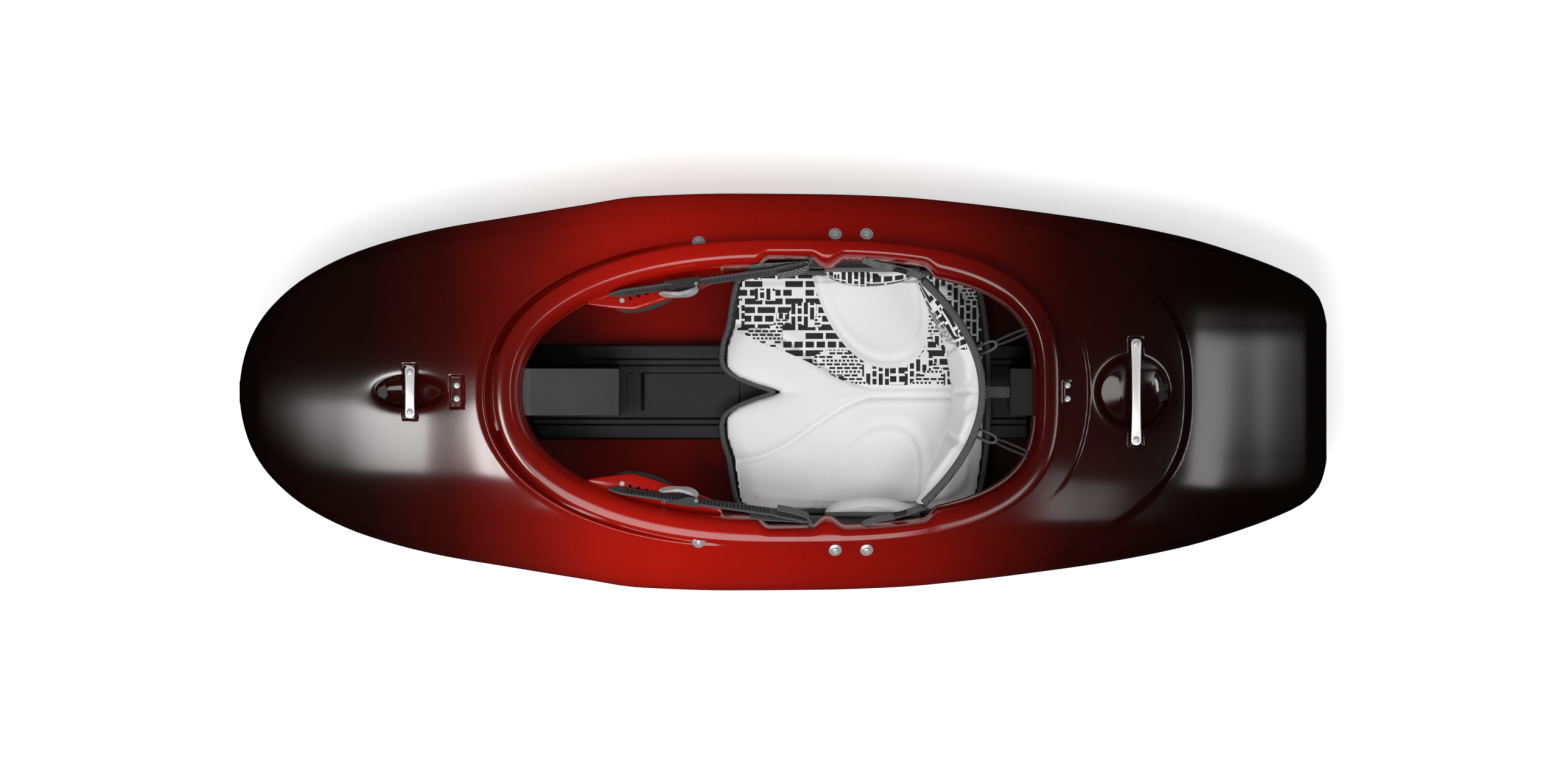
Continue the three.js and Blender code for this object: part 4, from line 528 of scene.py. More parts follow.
def printed_blocks(tree, point, white):
    """A print of its own: patches of plain black blocks in three sizes, lying or upright, on white."""
    layers = []
    for kind, (length, row, gap) in PRINT_BLOCKS.items():
        turned = node(tree, "ShaderNodeMapping", Vector=point, Location=(length, row, 0),
                      Rotation=(0, 0, math.radians(90 if kind == "upright" else 0)))
        bricks = node(tree, "ShaderNodeTexBrick", {"offset": 0.37, "squash": 0.55, "squash_frequency": 3},
                      Vector=turned.outputs[0], Color1=(0, 0, 0, 1), Color2=(1, 1, 1, 1), Mortar=(1, 1, 1, 1),
                      Scale=1.0, Mortar_Size=gap, Mortar_Smooth=0.0, Bias=0.0, Brick_Width=length,
                      Row_Height=row)
        layers.append(bricks.outputs[0])
    flat = node(tree, "ShaderNodeMapping", Vector=point, Scale=(1, 1, 0))
    patches = node(tree, "ShaderNodeTexVoronoi", {"distance": "CHEBYCHEV"}, Vector=flat.outputs[0],
                   Scale=24.0)
    pick = node(tree, "ShaderNodeSeparateXYZ", Vector=patches.outputs["Color"])
    upright = node(tree, "ShaderNodeMath", {"operation": "GREATER_THAN"}, i0=pick.outputs[0], i1=0.42)
    fine = node(tree, "ShaderNodeMath", {"operation": "GREATER_THAN"}, i0=pick.outputs[0], i1=0.8)
    mixed = node(tree, "ShaderNodeMixRGB", Fac=upright.outputs[0], Color1=layers[0], Color2=layers[1])
    mixed = node(tree, "ShaderNodeMixRGB", Fac=fine.outputs[0], Color1=mixed.outputs[0], Color2=layers[2])
    ink = node(tree, "ShaderNodeMath", {"operation": "LESS_THAN"}, i0=mixed.outputs[0], i1=0.88)
    here = node(tree, "ShaderNodeAttribute", {"attribute_name": "print"})
    inside = node(tree, "ShaderNodeMapRange", i0=here.outputs["Fac"], i1=-0.5, i2=0.5)
    inked = node(tree, "ShaderNodeMath", {"operation": "MULTIPLY"}, i0=ink.outputs[0], i1=inside.outputs[0])
    black = linear("161616")
    return node(tree, "ShaderNodeMixRGB", Fac=inked.outputs[0], Color1=white, Color2=black).outputs[0]


def cover_fabric(name, turn=(0, 0, 0), rounded=False):
    """A smooth white knit with the print. Turn, in degrees, lays the print on the cloth's slope; rounded
    lays it round the backband."""
    material, tree, point = new_material(name)
    knit = node(tree, "ShaderNodeTexNoise", Vector=point, Scale=700.0, Detail=2.0)
    soft = node(tree, "ShaderNodeTexNoise", Vector=point, Scale=9.0, Detail=2.0)
    white = node(tree, "ShaderNodeMixRGB", Fac=soft.outputs[0], Color1=linear("dcdcdc"),
                 Color2=linear("e9e9e9"))
    if rounded:
        place = round_band(tree, point)
    else:
        angles = tuple(math.radians(a) for a in turn)
        place = node(tree, "ShaderNodeMapping", Vector=point, Rotation=angles).outputs[0]
    printed = printed_blocks(tree, place, white.outputs[0])
    return finished(material, (knit.outputs[0], 0.25, 0.12), Base_Color=printed, Roughness=0.75,
                    Sheen_Weight=0.15)


def clear_plastic():
    """Clear polycarbonate: see-through, with bright edges."""
    material, tree, point = new_material("clear_polycarbonate")
    flow = node(tree, "ShaderNodeTexNoise", Vector=point, Scale=60.0, Detail=3.0)
    return finished(material, (flow.outputs[0], 0.12, 0.3), Base_Color=linear("dfe1e4"), Roughness=0.12,
                    IOR=1.58, Transmission_Weight=0.75)


hull_look = hull_polyethylene()
buckle_look = bare_metal("blackened_steel", "5a5b5c", 0.35)
steel_look = bare_metal("stainless_steel", "d4d5d6", 0.28)
bar_look = bare_metal("polished_aluminium", "e8e8e9", 0.3, (1.0, 0.05, 1.0), satin=0.55)
beam_look = moulded_plastic("black_moulded_polyethylene", "0e0e0e", 0.34)
black_look = moulded_plastic("black_nylon", "1d1d1e", 0.5)
strap_look = moulded_plastic("grey_nylon_ladder", "3a3a3b", 0.55)
hook_look = moulded_plastic("grey_acetal", "4a4b4d", 0.4)
pillar_look = foam("grey_eva_foam", "3a3a3a")
# painted shade: the rear pillar takes a near-black copy of the grey foam, darkened for the shade it sits in
rear_pillar_shaded_look = foam("dark_grey_eva_foam", "101010")
dark_foam_look = foam("black_eva_foam", "2b2c2d")
clear_look = clear_plastic()
webbing_look = woven("grey_webbing", "4a4a4b", "8c8c8d")
binding_look = woven("grey_binding_tape", "383839", "6c6c6d", 1.4)
hook_loop_look = woven("black_hook_and_loop", "141414", "2c2c2c", 1.2)
elastic_look = woven("black_elastic_cord", "1c1c1d", "444445", 1.2)
seat_fabric = cover_fabric("printed_knit_fabric")
band_fabric = cover_fabric("printed_band_fabric", rounded=True)
right_hip_fabric = cover_fabric("printed_right_hip_fabric", (-62, 0, 0))
left_hip_fabric = cover_fabric("printed_left_hip_fabric", (62, 0, 0))


# Hull and coaming
def outline_at(angles, length=HALF_LENGTH, inset=0.0):
    """Where rays of scaled angle meet the hull's plan outline, by halving between inside and outside."""
    cosine, sine = np.cos(angles), np.sin(angles)
    low, high = np.zeros_like(angles), np.full_like(angles, 1.5)
    for _ in range(44):
        middle = (low + high) / 2
        x, y = length * cosine * middle, HALF_BEAM * np.abs(sine) * middle
        inside = (np.abs(x) < length) & (y < half_width_at(x * HALF_LENGTH / length) - inset)
        low, high = np.where(inside, middle, low), np.where(inside, high, middle)
    return np.stack([length * cosine * low, HALF_BEAM * sine * low], -1)


def rim_at(angles, inward=0.0):
    """The rim's outline along rays of scaled angle, moved inwards along its own normal."""
    cosine, sine = np.cos(angles), np.sin(angles)
    front = cosine < 0
    power = np.where(front, RIM_FRONT_POWER, RIM_REAR_POWER)
    reach = np.where(front, RIM_FRONT, RIM_REAR)
    rho = (np.abs(cosine) ** power + np.abs(sine) ** power) ** (-1 / power)
    dx, dy = reach * cosine * rho, RIM_HALF * sine * rho
    nx = np.sign(dx) * (np.abs(dx) / reach) ** (power - 1) / reach
    ny = np.sign(dy) * (np.abs(dy) / RIM_HALF) ** (power - 1) / RIM_HALF
    size = np.hypot(nx, ny)
    return np.stack([RIM_X + dx - nx / size * inward, dy - ny / size * inward], -1)


def rim_height(angles):
    """Height of the rim's top: the plain deck at its neck and the rim's rise over it."""
    neck = rim_at(angles, RIM_FLANGE)
    return bare_deck(neck[..., 0], neck[..., 1]) + RIM_RISE


def hull_angles():
    """Rays round the cockpit, close together over the bow and stern where the deck's detail is."""
    near, near_count, far_count = 0.36, 56, 84
    half = np.concatenate([np.linspace(0, near, near_count, endpoint=False),
                           np.linspace(near, math.pi - near * 0.8, far_count, endpoint=False),
                           np.linspace(math.pi - near * 0.8, math.pi, near_count, endpoint=False)])
    return np.concatenate([half, [math.pi], (2 * math.pi - half[1:])[::-1]])


def hull_mesh():
    """One skin: up from the keel, over the deck to the coaming's neck, and back inside the wall.
    Each row is a plan outline between two others, at the height of the bottom or of the deck there."""
    angles = hull_angles()
    outer = outline_at(angles)
    inner = outline_at(angles, HALF_LENGTH - WALL, WALL)
    neck, neck_in = rim_at(angles, RIM_FLANGE + 1), rim_at(angles, RIM_FLANGE + 5)
    rows = []

    def add(plan, z):
        """Adds a row of points."""
        rows.append(np.concatenate([plan, z[:, None]], 1))

    # outer bottom: from the keel line out to the sheer
    spine = np.stack([outer[:, 0] * 0.9, np.zeros(len(angles))], 1)
    for t in np.linspace(0, 1, 30)[:-1] ** 0.75:
        plan = spine + (outer - spine) * t
        add(plan, bottom_height(plan[:, 0], plan[:, 1]))
    # deck: from the sheer in to the neck, in fine steps from the bowls inwards
    shares = np.concatenate([1 - 0.42 * np.linspace(0, 1, 26)[:-1] ** 1.8, np.linspace(0.58, 0.04, 112)[:-1],
                             np.linspace(0.04, 0, 8)])
    for share in shares:
        plan = neck + (outer - neck) * share
        add(plan, deck_height(plan[:, 0], plan[:, 1]))
    # inside: under the deck, round the sheer and back over the floor
    for share in 1 - (1 - np.linspace(0, 1, 14)) ** 2:
        plan = neck_in + (inner - neck_in) * share
        scaled = plan[:, 0] * HALF_LENGTH / (HALF_LENGTH - WALL)
        dents = [bowl_dent(plan[:, 0], plan[:, 1], bar["bowl"]) for bar in (BOW_BAR, STERN_BAR)]
        add(plan, bare_deck(scaled, plan[:, 1], WALL) - (dents[0] + dents[1]) * 0.9 - 0.5)
    spine_in = np.stack([inner[:, 0] * 0.9, np.zeros(len(angles))], 1)
    for t in np.linspace(1, 0, 26)[1:] ** 0.75:
        plan = spine_in + (inner - spine_in) * t
        scaled = plan[:, 0] * HALF_LENGTH / (HALF_LENGTH - WALL)
        add(plan, bottom_height(scaled, plan[:, 1], WALL))
    mesh = surface("hull", np.stack(rows), close_columns=True, weld=0.02)
    # painted shade: points of the inner floor that face up and lie below 120 mm are marked as inside, and the
    # hull's material darkens them there
    facing, height = normals_of(mesh)[:, 2], points_of(mesh)[:, 2]
    mark(mesh, "inside", smooth_step(facing / 0.3) * smooth_step((120 - height) / 40))
    return mesh


def window(x, centre, half, blend):
    """1 within half of the centre, and down to 0 over the blend beyond it."""
    return 1 - smooth_step((np.abs(x - centre) - half) / blend)


# Where the right side's thigh shelf ends, inwards; it starts under the rim's inner edge
SHELF_EDGE = [(-345, 153), (-329, 145.4), (-306, 139), (-283.7, 135.2), (-265.9, 133.7), (-240, 140),
              (-212, 149), (-184.2, 157.3), (-150, 168), (-125, 178), (-111.8, 184.2), (-102, 196)]
shelf_edge = curve_through(SHELF_EDGE)
# Small notches moulded across the rim's slope, on the right side
RIM_NOTCHES = [(-286, 186), (-231, 203), (73, 217), (102, 217), (387, 158), (435, 51)]


def coaming_mesh():
    """The rim's profile carried round the cockpit. At the sides its inner edge runs on into the
    thigh shelves, and its slope is scooped out where the webbing passes."""
    count = 1000
    angles = np.linspace(0, 2 * np.pi, count, endpoint=False)
    top = rim_height(angles)
    base = rim_at(angles)
    x, y = base[:, 0], base[:, 1]
    scoop = 15 * np.maximum(window(x, 10, 34, 26), window(x, 171, 66, 30))
    width = RIM_WIDTH - scoop
    wall = rim_at(angles, RIM_WIDTH)
    shelf = np.clip(np.abs(wall[:, 1]) - shelf_edge(wall[:, 0]), 0, None)
    shelf = shelf * smooth_step((wall[:, 0] + 345) / 20) * (1 - smooth_step((wall[:, 0] + 108) / 8))
    ledge = np.clip(shelf, 1.5, None)
    drop = RIM_DROP - 6 * smooth_step(shelf / 6)
    under = 1.5 + 4.5 * smooth_step(shelf / 6)
    # how far in and how high each point of the profile lies, from the neck over the top and back below
    profile = [
        (15, -30), (15, -16), (13, -12.5), (3, -11.5), (0, -9), (0, -3), (2.5, -0.5), (8, 0.8),
        (width * 0.36, 1.9), (width * 0.54, 1.6), (width * 0.68, -0.6),
        (width * 0.8, -5 - drop * 0.06), (width * 0.9, -2 - drop * 0.36), (width * 0.96, -2 - drop * 0.62),
        (width * 0.99, -drop * 0.88), (width + 2.5 * smooth_step(shelf / 6), -drop),
        (width + ledge * 0.25, -drop - 0.2), (width + ledge * 0.5, -drop + 0.3),
        (width + ledge * 0.75, -drop + 0.4), (width + ledge * 0.94, -drop - 0.4),
        (width + ledge, -drop - under * 0.5), (width + ledge * 0.94, -drop - under * 0.93),
        (width + ledge * 0.5, -drop - under), (width - 3, -drop - under),
        (width - 6, -drop * 0.9 - under * 0.5), (width - 8, -drop * 0.6), (width * 0.78 - 3, -14),
        (21.5, -11), (20.5, -18), (20.5, -30)]
    pairs = [[np.broadcast_to(value, count) for value in pair] for pair in profile]
    pairs = np.array(pairs, float).transpose(2, 0, 1)
    for side in (1, -1):
        for nx, ny in RIM_NOTCHES:
            near = np.hypot((x - nx) * 0.9, (y - side * ny) * 0.35)
            depth = 4.5 * (1 - smooth_step((near - 4.5) / 2.5))
            pairs[:, 10:15, 0] -= depth[:, None] * np.array([0.2, 0.9, 1.0, 1.0, 0.6])
            pairs[:, 10:13, 1] -= depth[:, None] * np.array([0.3, 0.5, 0.2])
    # the profile's corners are cut a quarter of the way along each of its sides
    after = np.roll(pairs, -1, axis=1)
    pairs = np.stack([pairs * 0.75 + after * 0.25, pairs * 0.25 + after * 0.75], 2).reshape(count, -1, 2)
    outward = base - rim_at(angles, 1.0)
    plan = base[:, None] - outward[:, None] * pairs[..., :1]
    z = top[:, None] + pairs[..., 1]
    grid = np.concatenate([plan, z[..., None]], 2)
    return surface("coaming", grid, close_rows=True, close_columns=True, weld=0)


# The right thigh brace's holes: the way their row runs, the way the shelf faces and the first hole's place;
# then their distance, radius and number, and how far the bit reaches to either side
BRACE_ROW = np.array([0.957593, 0.274585, -0.087289])
SHELF_NORMAL = np.array([0.090778, 0, 0.995871])
FIRST_HOLE = np.array([-270, 152.5, 286.05])
HOLE_PITCH, HOLE_RADIUS, HOLES, BIT_REACH = 14.3, 2.9, 5, 14


def drilled(mesh):
    """Both shelves' rows of holes, bored through the moulding square to the shelf."""
    piece = bpy.data.objects.new("shelf_blank", mesh)
    bpy.context.scene.collection.objects.link(piece)
    profile = [(0, -BIT_REACH), (HOLE_RADIUS, -BIT_REACH), (HOLE_RADIUS, BIT_REACH), (0, BIT_REACH)]
    bits = []
    for sign in (1, -1):
        for number in range(HOLES):
            point = (FIRST_HOLE + BRACE_ROW * HOLE_PITCH * number) * (1, sign, 1)
            bits.append(lathe("bit", profile, point, SHELF_NORMAL))
    bit = bpy.data.objects.new("bits", joined_mesh("bits", bits))
    bpy.context.scene.collection.objects.link(bit)
    cut = piece.modifiers.new("bore", "BOOLEAN")
    cut.operation, cut.solver, cut.object = "DIFFERENCE", "EXACT", bit
    bored = bpy.data.meshes.new_from_object(piece.evaluated_get(bpy.context.evaluated_depsgraph_get()))
    bored.set_sharp_from_angle(angle=math.radians(50))
    for done in (piece, bit):
        bpy.data.objects.remove(done)
    return bored


shown("hull", "root", hull_mesh(), hull_look, ["hull_shell"])
shown("coaming", "root", drilled(coaming_mesh()), hull_look, ["hull_shell"])


# Deck fasteners
def deck_normal(x, y):
    """The way the plain deck faces at a point, from its heights a little before, behind and beside it."""
    probe = 26.0
    along_x = bare_deck(x + probe / 2, y) - bare_deck(x - probe / 2, y)
    along_y = bare_deck(x, y + probe / 2) - bare_deck(x, y - probe / 2)
    normal = np.array([-along_x, -along_y, probe])
    return normal / np.linalg.norm(normal)


def head(name, point, direction, profile, cross):
    """A turned head with a cross recess: points near two crossed lines sink below its top."""
    half, reach, depth = cross
    profile = np.array(profile, float)
    run = np.concatenate([[0], np.cumsum(np.hypot(*np.diff(profile, axis=0).T))])
    fine = np.stack([np.interp(np.linspace(0, run[-1], 46), run, axis) for axis in profile.T], 1)
    n = np.array(direction, float)
    a = np.cross(n, (0.3, 1, 0))
    a /= np.linalg.norm(a)
    b = np.cross(n, a)
    t = np.linspace(0, 2 * np.pi, 56, endpoint=False)
    u, v = fine[:, :1] * np.cos(t), fine[:, :1] * np.sin(t)
    z = np.broadcast_to(fine[:, 1:], u.shape).copy()
    near = np.minimum(np.abs(u), np.abs(v))
    inside = (1 - smooth_step((near - half) / 0.35)) * (1 - smooth_step((np.hypot(u, v) - reach) / 0.5))
    z -= depth * inside * (fine[:, 1:] > fine[-1, 1] * 0.3)
    grid = np.array(point) + u[..., None] * a + v[..., None] * b + z[..., None] * n
    return surface(name, grid, close_columns=True)


# Heads as pairs of radius and height; a cross has half its arms' width, their reach and their depth
BOLT_HEAD = [(0, -0.7), (11, -0.7), (11, -0.1), (10.4, 0.5), (8.4, 1.2), (6.6, 1.9), (6.3, 1.6), (6.0, 2.0),
             (5.7, 3.1), (4.6, 4.1), (2.6, 4.7), (0, 4.85)]
SCREW_HEAD = [(0, 0), (5.4, 0), (5.5, 0.7), (5.2, 1.6), (4.3, 2.4), (2.6, 2.9), (0, 3.05)]
BOLT_CROSS, SCREW_CROSS = (0.55, 2.7, 1.5), (0.5, 2.3, 1.4)
SCREW_RISE = 3.0
DECK_BOLTS = [("seat_bolt_front", 85.5, 264), ("seat_bolt_rear", 138, 264), ("brace_bolt", -142, 250)]
DECK_SCREWS = ["bow_handle_screw", "stern_handle_screw", "front_pillar_screw", "rear_pillar_screw"]


def fasteners():
    """Every bolt and screw head, where the frame's own fastener is."""
    for side, sign in (("right", 1), ("left", -1)):
        for name, x, y in DECK_BOLTS:
            y = y * sign
            point = (x, y, float(bare_deck(x, y)))
            mesh = head(name, point, deck_normal(x, y), BOLT_HEAD, BOLT_CROSS)
            shown(f"{name}_{side}_look", "root", mesh, steel_look, [f"{name}_{side}"])
        for name in DECK_SCREWS:
            low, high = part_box(f"{name}_{side}")
            x, y = (low[0] + high[0]) / 2 / MM, (low[1] + high[1]) / 2 / MM
            mesh = head(name, (x, y, high[2] / MM - SCREW_RISE), (0, 0, 1), SCREW_HEAD, SCREW_CROSS)
            shown(f"{name}_{side}_look", "root", mesh, steel_look, [f"{name}_{side}"])


fasteners()


# Grab handles
def grab_bar(name, bar, thickness, arch, waist):
    """A flat bar with rounded edges along Y: narrower and higher in its middle, rounded at both ends."""
    half, width = bar["half"], bar["width"]
    pad = float(bare_deck(bar["x"], half)) - FOOT_DEPTH + 0.3
    y = half * np.sin(np.linspace(-np.pi / 2, np.pi / 2, 60))
    end = np.clip((half - np.abs(y)) / (width * 0.45), 0, 1)
    close = np.sqrt(np.clip(1 - (1 - end) ** 2, 0.0004, 1))
    bend = 1 - (y / half) ** 2
    ring = ring_profile(1, 1, 36, 5.0)
    half_x = (width / 2 - waist * bend) * close
    half_z = thickness / 2 * (0.55 + 0.45 * close)
    centre_z = pad + thickness / 2 + arch * bend * bend
    grid = np.stack([bar["x"] + half_x[:, None] * ring[None, :, 0],
                     np.broadcast_to(y[:, None], (len(y), 36)),
                     centre_z[:, None] + half_z[:, None] * ring[None, :, 1]], -1)
    shown(f"{name}_look", "root", surface(name, grid, close_columns=True, caps=True),
          bar_look, [name])


grab_bar("bow_handle", BOW_BAR, 7, 3, 1)
grab_bar("stern_handle", STERN_BAR, 7, 5, 2)


# Seat: its ends and half width, how far its front is notched, its lowest height and where that is
SEAT_FRONT, SEAT_REAR, SEAT_HALF, SEAT_NOTCH, SEAT_LOW, SEAT_LOW_X = -103, 345, 201, -11, 80, 200
PAD_THICK, PAD_EDGE = 26, 12
seat_front_share = curve_through([(0, 1), (0.03, 0.82), (0.08, 0.5), (0.137, 0.22), (0.2, 0.05), (0.27, 0),
                                  (0.4, 0.03), (0.55, 0.13), (0.75, 0.2), (0.9, 0.27), (1, 0.42)])
seat_rear_share = curve_through([(0, 0), (0.3, 0.01), (0.6, 0.05), (0.86, 0.12), (0.95, 0.35), (1, 0.65)])
# Edges of the sewn channels, from the middle of the boat: the pommel's, and the print's on the right
pommel_edge = curve_through([(-110, 122), (-39, 108), (5, 88), (49, 58), (93, 29), (125, 14.4), (148, 8.6),
                             (350, 8)])
print_edge = curve_through([(-110, 116), (-90, 107), (-69, 98), (-39, 83), (6, 66), (57, 42), (78, 29),
                            (107, 17), (137, 12), (350, 11)])


def seat_top(x, y):
    """Height of the pad: squares of the distance ahead of and behind its low, a fourth power to the sides."""
    ahead = np.clip(SEAT_LOW_X - x, 0, None) / (SEAT_LOW_X - SEAT_FRONT)
    behind = np.clip(x - SEAT_LOW_X, 0, None) / (SEAT_REAR - SEAT_LOW_X)
    return SEAT_LOW + 26 * ahead ** 2 + 16 * behind ** 2 + 42 * (np.abs(y) / SEAT_HALF) ** 4


def seat_edges(y):
    """Where the seat starts and ends at y, by the curves of its front and rear."""
    across = np.abs(y) / SEAT_HALF
    return (SEAT_FRONT + (SEAT_NOTCH - SEAT_FRONT) * seat_front_share(across),
            SEAT_REAR - (SEAT_REAR - SEAT_LOW_X) * seat_rear_share(across))


def hip_lobe(x, y):
    """Below 1 inside the moulded lobe beside each hip, which opens to the side."""
    depth = (194 - np.abs(y)) / 140
    middle = 140 + 36 * np.clip(depth, 0, 1)
    return (np.abs((x - middle) / 84) ** 2.3 + np.clip(depth, 0, None) ** 2.3) ** (1 / 2.3)


def groove(distance, width, depth):
    """A sewn channel: a narrow bell-shaped valley, with a soft shoulder on either side of it."""
    shoulder = np.exp(-((np.abs(distance) - 2.2 * width) / (1.4 * width)) ** 2)
    return -depth * np.exp(-(distance / width) ** 2) + depth * 0.35 * shoulder


def seat_relief(x, y):
    """Heights of the cover's moulded forms: the pommel, the thigh hollows, the hip lobes and channels."""
    side = np.abs(y)
    slope = np.gradient(pommel_edge(np.linspace(-110, 350, 461)))
    steep = np.interp(x, np.linspace(-110, 350, 461), slope)
    from_pommel = (side - pommel_edge(x)) / np.sqrt(1 + steep ** 2)
    z = groove(from_pommel, 4.5, 3.2)
    z = z + 5.5 * smooth_step(-from_pommel / 20) * (1 - smooth_step((x - 60) / 80))
    z = z - 7 * np.exp(-((x + 10) / 105) ** 2 - ((side - 128) / 46) ** 2)
    lobe = (hip_lobe(x, y) - 1) * 84
    z = z + groove(lobe, 4.5, 3.0) - 2.4 * smooth_step(-lobe / 16)
    inner = (hip_lobe(x, y) - 0.86) * 84
    z = z - 0.9 * np.exp(-(inner / 4) ** 2) * smooth_step((x - 150) / 40)
    z = z - 2.2 * np.exp(-(side / 7.0) ** 2) * smooth_step((x - 110) / 40)
    return z


def seat_mesh(relief):
    """The cover, section by section across the boat: over the pad from front to rear, and back below."""
    half = 161
    across = np.sin(np.linspace(-np.pi / 2, np.pi / 2, half)) * 0.25 + np.linspace(-1, 1, half) * 0.75
    y = across * SEAT_HALF
    front, rear = seat_edges(y)
    share = (1 - np.cos(np.linspace(0, np.pi, 180))) / 2 * 0.5 + np.linspace(0, 1, 180) * 0.5
    x = front[:, None] + (rear - front)[:, None] * share
    yy = np.broadcast_to(y[:, None], x.shape)
    crown = (1 - np.abs(2 * share - 1) ** 16)[None, :] * (1 - 0.5 * np.abs(across) ** 8)[:, None]
    base = seat_top(x, yy) - PAD_THICK
    top = base + PAD_EDGE + (PAD_THICK - PAD_EDGE) * crown
    top = top + seat_relief(x, yy) * np.clip(crown * 1.15, 0, 1) if relief else top - CLOTH_CAP * 0.6
    under = np.linspace(1, 0, 24)[1:-1]
    xb = front[:, None] + 2 + (rear - front - 4)[:, None] * under
    yb = np.broadcast_to(y[:, None], xb.shape)
    low = seat_top(xb, yb) - PAD_THICK
    grid = np.concatenate([np.stack([x, yy, top], -1), np.stack([xb, yb, low], -1)], 1)
    return surface("seat_cover", grid, close_columns=True, caps=True, weld=0.005)


def seat_print(p):
    """How far in mm a point lies inside the print: the right thigh and hip, not the hip lobe or pommel."""
    x, y = p[:, 0], p[:, 1]
    return np.minimum(np.minimum(y - print_edge(x), (hip_lobe(x, y) - 1.1) * 84), x + 97)


# The blown-up covers: the even mesh's size and the most that a point moves, in millimetres, and the frames
CLOTH_VOXEL, CLOTH_CAP, CLOTH_FRAMES = 4.5, 5.0, 20


def blown_up(mesh):
    """Cloth simulation of a cover over its foam: the cover is meshed evenly, air pressure swells it for a
    few frames without gravity, no point moves further than the cap, and the result is subdivided once."""
    scene = bpy.context.scene
    source = bpy.data.objects.new("cover_source", mesh)
    scene.collection.objects.link(source)
    even = source.modifiers.new("even", "REMESH")
    even.mode, even.voxel_size = "VOXEL", CLOTH_VOXEL * MM
    calm = source.modifiers.new("calm", "SMOOTH")
    calm.factor, calm.iterations = 0.5, 5
    cloth_mesh = bpy.data.meshes.new_from_object(source.evaluated_get(bpy.context.evaluated_depsgraph_get()))
    bpy.data.objects.remove(source)
    cover = bpy.data.objects.new("cover_cloth", cloth_mesh)
    scene.collection.objects.link(cover)
    start = points_of(cloth_mesh)
    cloth = cover.modifiers.new("cloth", "CLOTH")
    cloth.settings.use_pressure = True
    cloth.settings.uniform_pressure_force = 4.0
    cloth.settings.effector_weights.gravity = 0.0
    cloth.point_cache.frame_start, cloth.point_cache.frame_end = 1, CLOTH_FRAMES
    for number in range(1, CLOTH_FRAMES + 1):
        scene.frame_set(number)
    swollen = cover.evaluated_get(bpy.context.evaluated_depsgraph_get())
    move = points_of(swollen.data) - start
    far = np.linalg.norm(move, axis=1, keepdims=True)
    cover.modifiers.remove(cloth)
    end = start + move * np.minimum(1, CLOTH_CAP / np.maximum(far, 0.001))
    cloth_mesh.vertices.foreach_set("co", (end * MM).ravel())
    scene.frame_set(1)
    finer = cover.modifiers.new("finer", "SUBSURF")
    finer.levels = finer.render_levels = 1
    fine = bpy.data.meshes.new_from_object(cover.evaluated_get(bpy.context.evaluated_depsgraph_get()))
    bpy.data.objects.remove(cover)
    fine.polygons.foreach_set("use_smooth", np.ones(len(fine.polygons), bool))
    return fine


def padded_cover(name, body, build, shape, look, replaced, printed):
    """A padded cover: its plain form is blown up as cloth, then its channels and folds are pressed
    in."""
    mesh = blown_up(build(False))
    mesh.vertices.foreach_set("co", (shape(points_of(mesh), normals_of(mesh)) * MM).ravel())
    mesh.update()
    mark(mesh, "print", np.clip(printed(points_of(mesh)), -20, 20))
    piece = shown(name, body, mesh, look, replaced)
    return piece


def seat_shape(p, normal):
    """Presses the seat's channels into the blown-up cover where it faces up, never below the pad."""
    x, y, z = p.T
    low = seat_top(x, y) - PAD_THICK
    facing = smooth_step((normal[:, 2] - 0.3) / 0.5)
    lifted = z + seat_relief(x, y) * facing
    return np.stack([x, y, np.clip(lifted, low, None)], 1)


def seat_outline():
    """The seat's edge seen from above, run round once and spaced evenly."""
    y = np.linspace(-1, 1, 900) * SEAT_HALF
    front, rear = seat_edges(y)
    line = np.concatenate([np.stack([front, y], 1), np.stack([rear, y], 1)[::-1]])
    closed = np.concatenate([line, line[:1]])
    run = np.concatenate([[0], np.cumsum(np.hypot(*np.diff(closed, axis=0).T))])
    even = np.linspace(0, run[-1], 521)[:-1]
    line = np.stack([np.interp(even, run, closed[:, i]) for i in (0, 1)], 1)
    for _ in range(6):
        line = (np.roll(line, 1, 0) + line * 2 + np.roll(line, -1, 0)) / 4
    return line


def ring_along(name, path, profile):
    """A closed profile carried round a closed path, upright all the way."""
    direction = scaled_to_one(np.roll(path, -1, 0) - np.roll(path, 1, 0))
    side = scaled_to_one(np.cross((0, 0, 1), direction))
    rise = np.cross(direction, side)
    grid = path[:, None] + side[:, None] * profile[None, :, :1] + rise[:, None] * profile[None, :, 1:]
    return surface(name, grid, close_rows=True, close_columns=True, weld=0)


padded_cover("seat_cover", "seat", seat_mesh, seat_shape, seat_fabric, ["seat_pad"], seat_print)
# The bound edge stands out a little further at the front
line = seat_outline()
line[:, 0] -= 2.2 * smooth_step((5 - line[:, 0]) / 12)
edge_z = seat_top(line[:, 0], line[:, 1]) - PAD_THICK + 7.5
line = np.concatenate([line, edge_z[:, None]], 1)
binding = ring_along("seat_binding", line, ring_profile(4.7, 8.2, 20, 3.0))
shown("seat_binding", "seat", binding, binding_look)

# Hip pads: their ends, heights and thickness, and the foot, knee and plane of the seat's ear behind them
HIP_FRONT, HIP_REAR, HIP_LOW, HIP_HIGH, HIP_THICK = 67, 229, 122, 192, 35
EAR_FOOT, EAR_KNEE, EAR_Y = 92, 196, 206


def hip_back(z):
    """How far out the ear's inner face lies at z: it leans out 3 mm from its foot to its knee."""
    return EAR_Y - 0.3 + 3 * (z - EAR_FOOT) / (EAR_KNEE - EAR_FOOT)


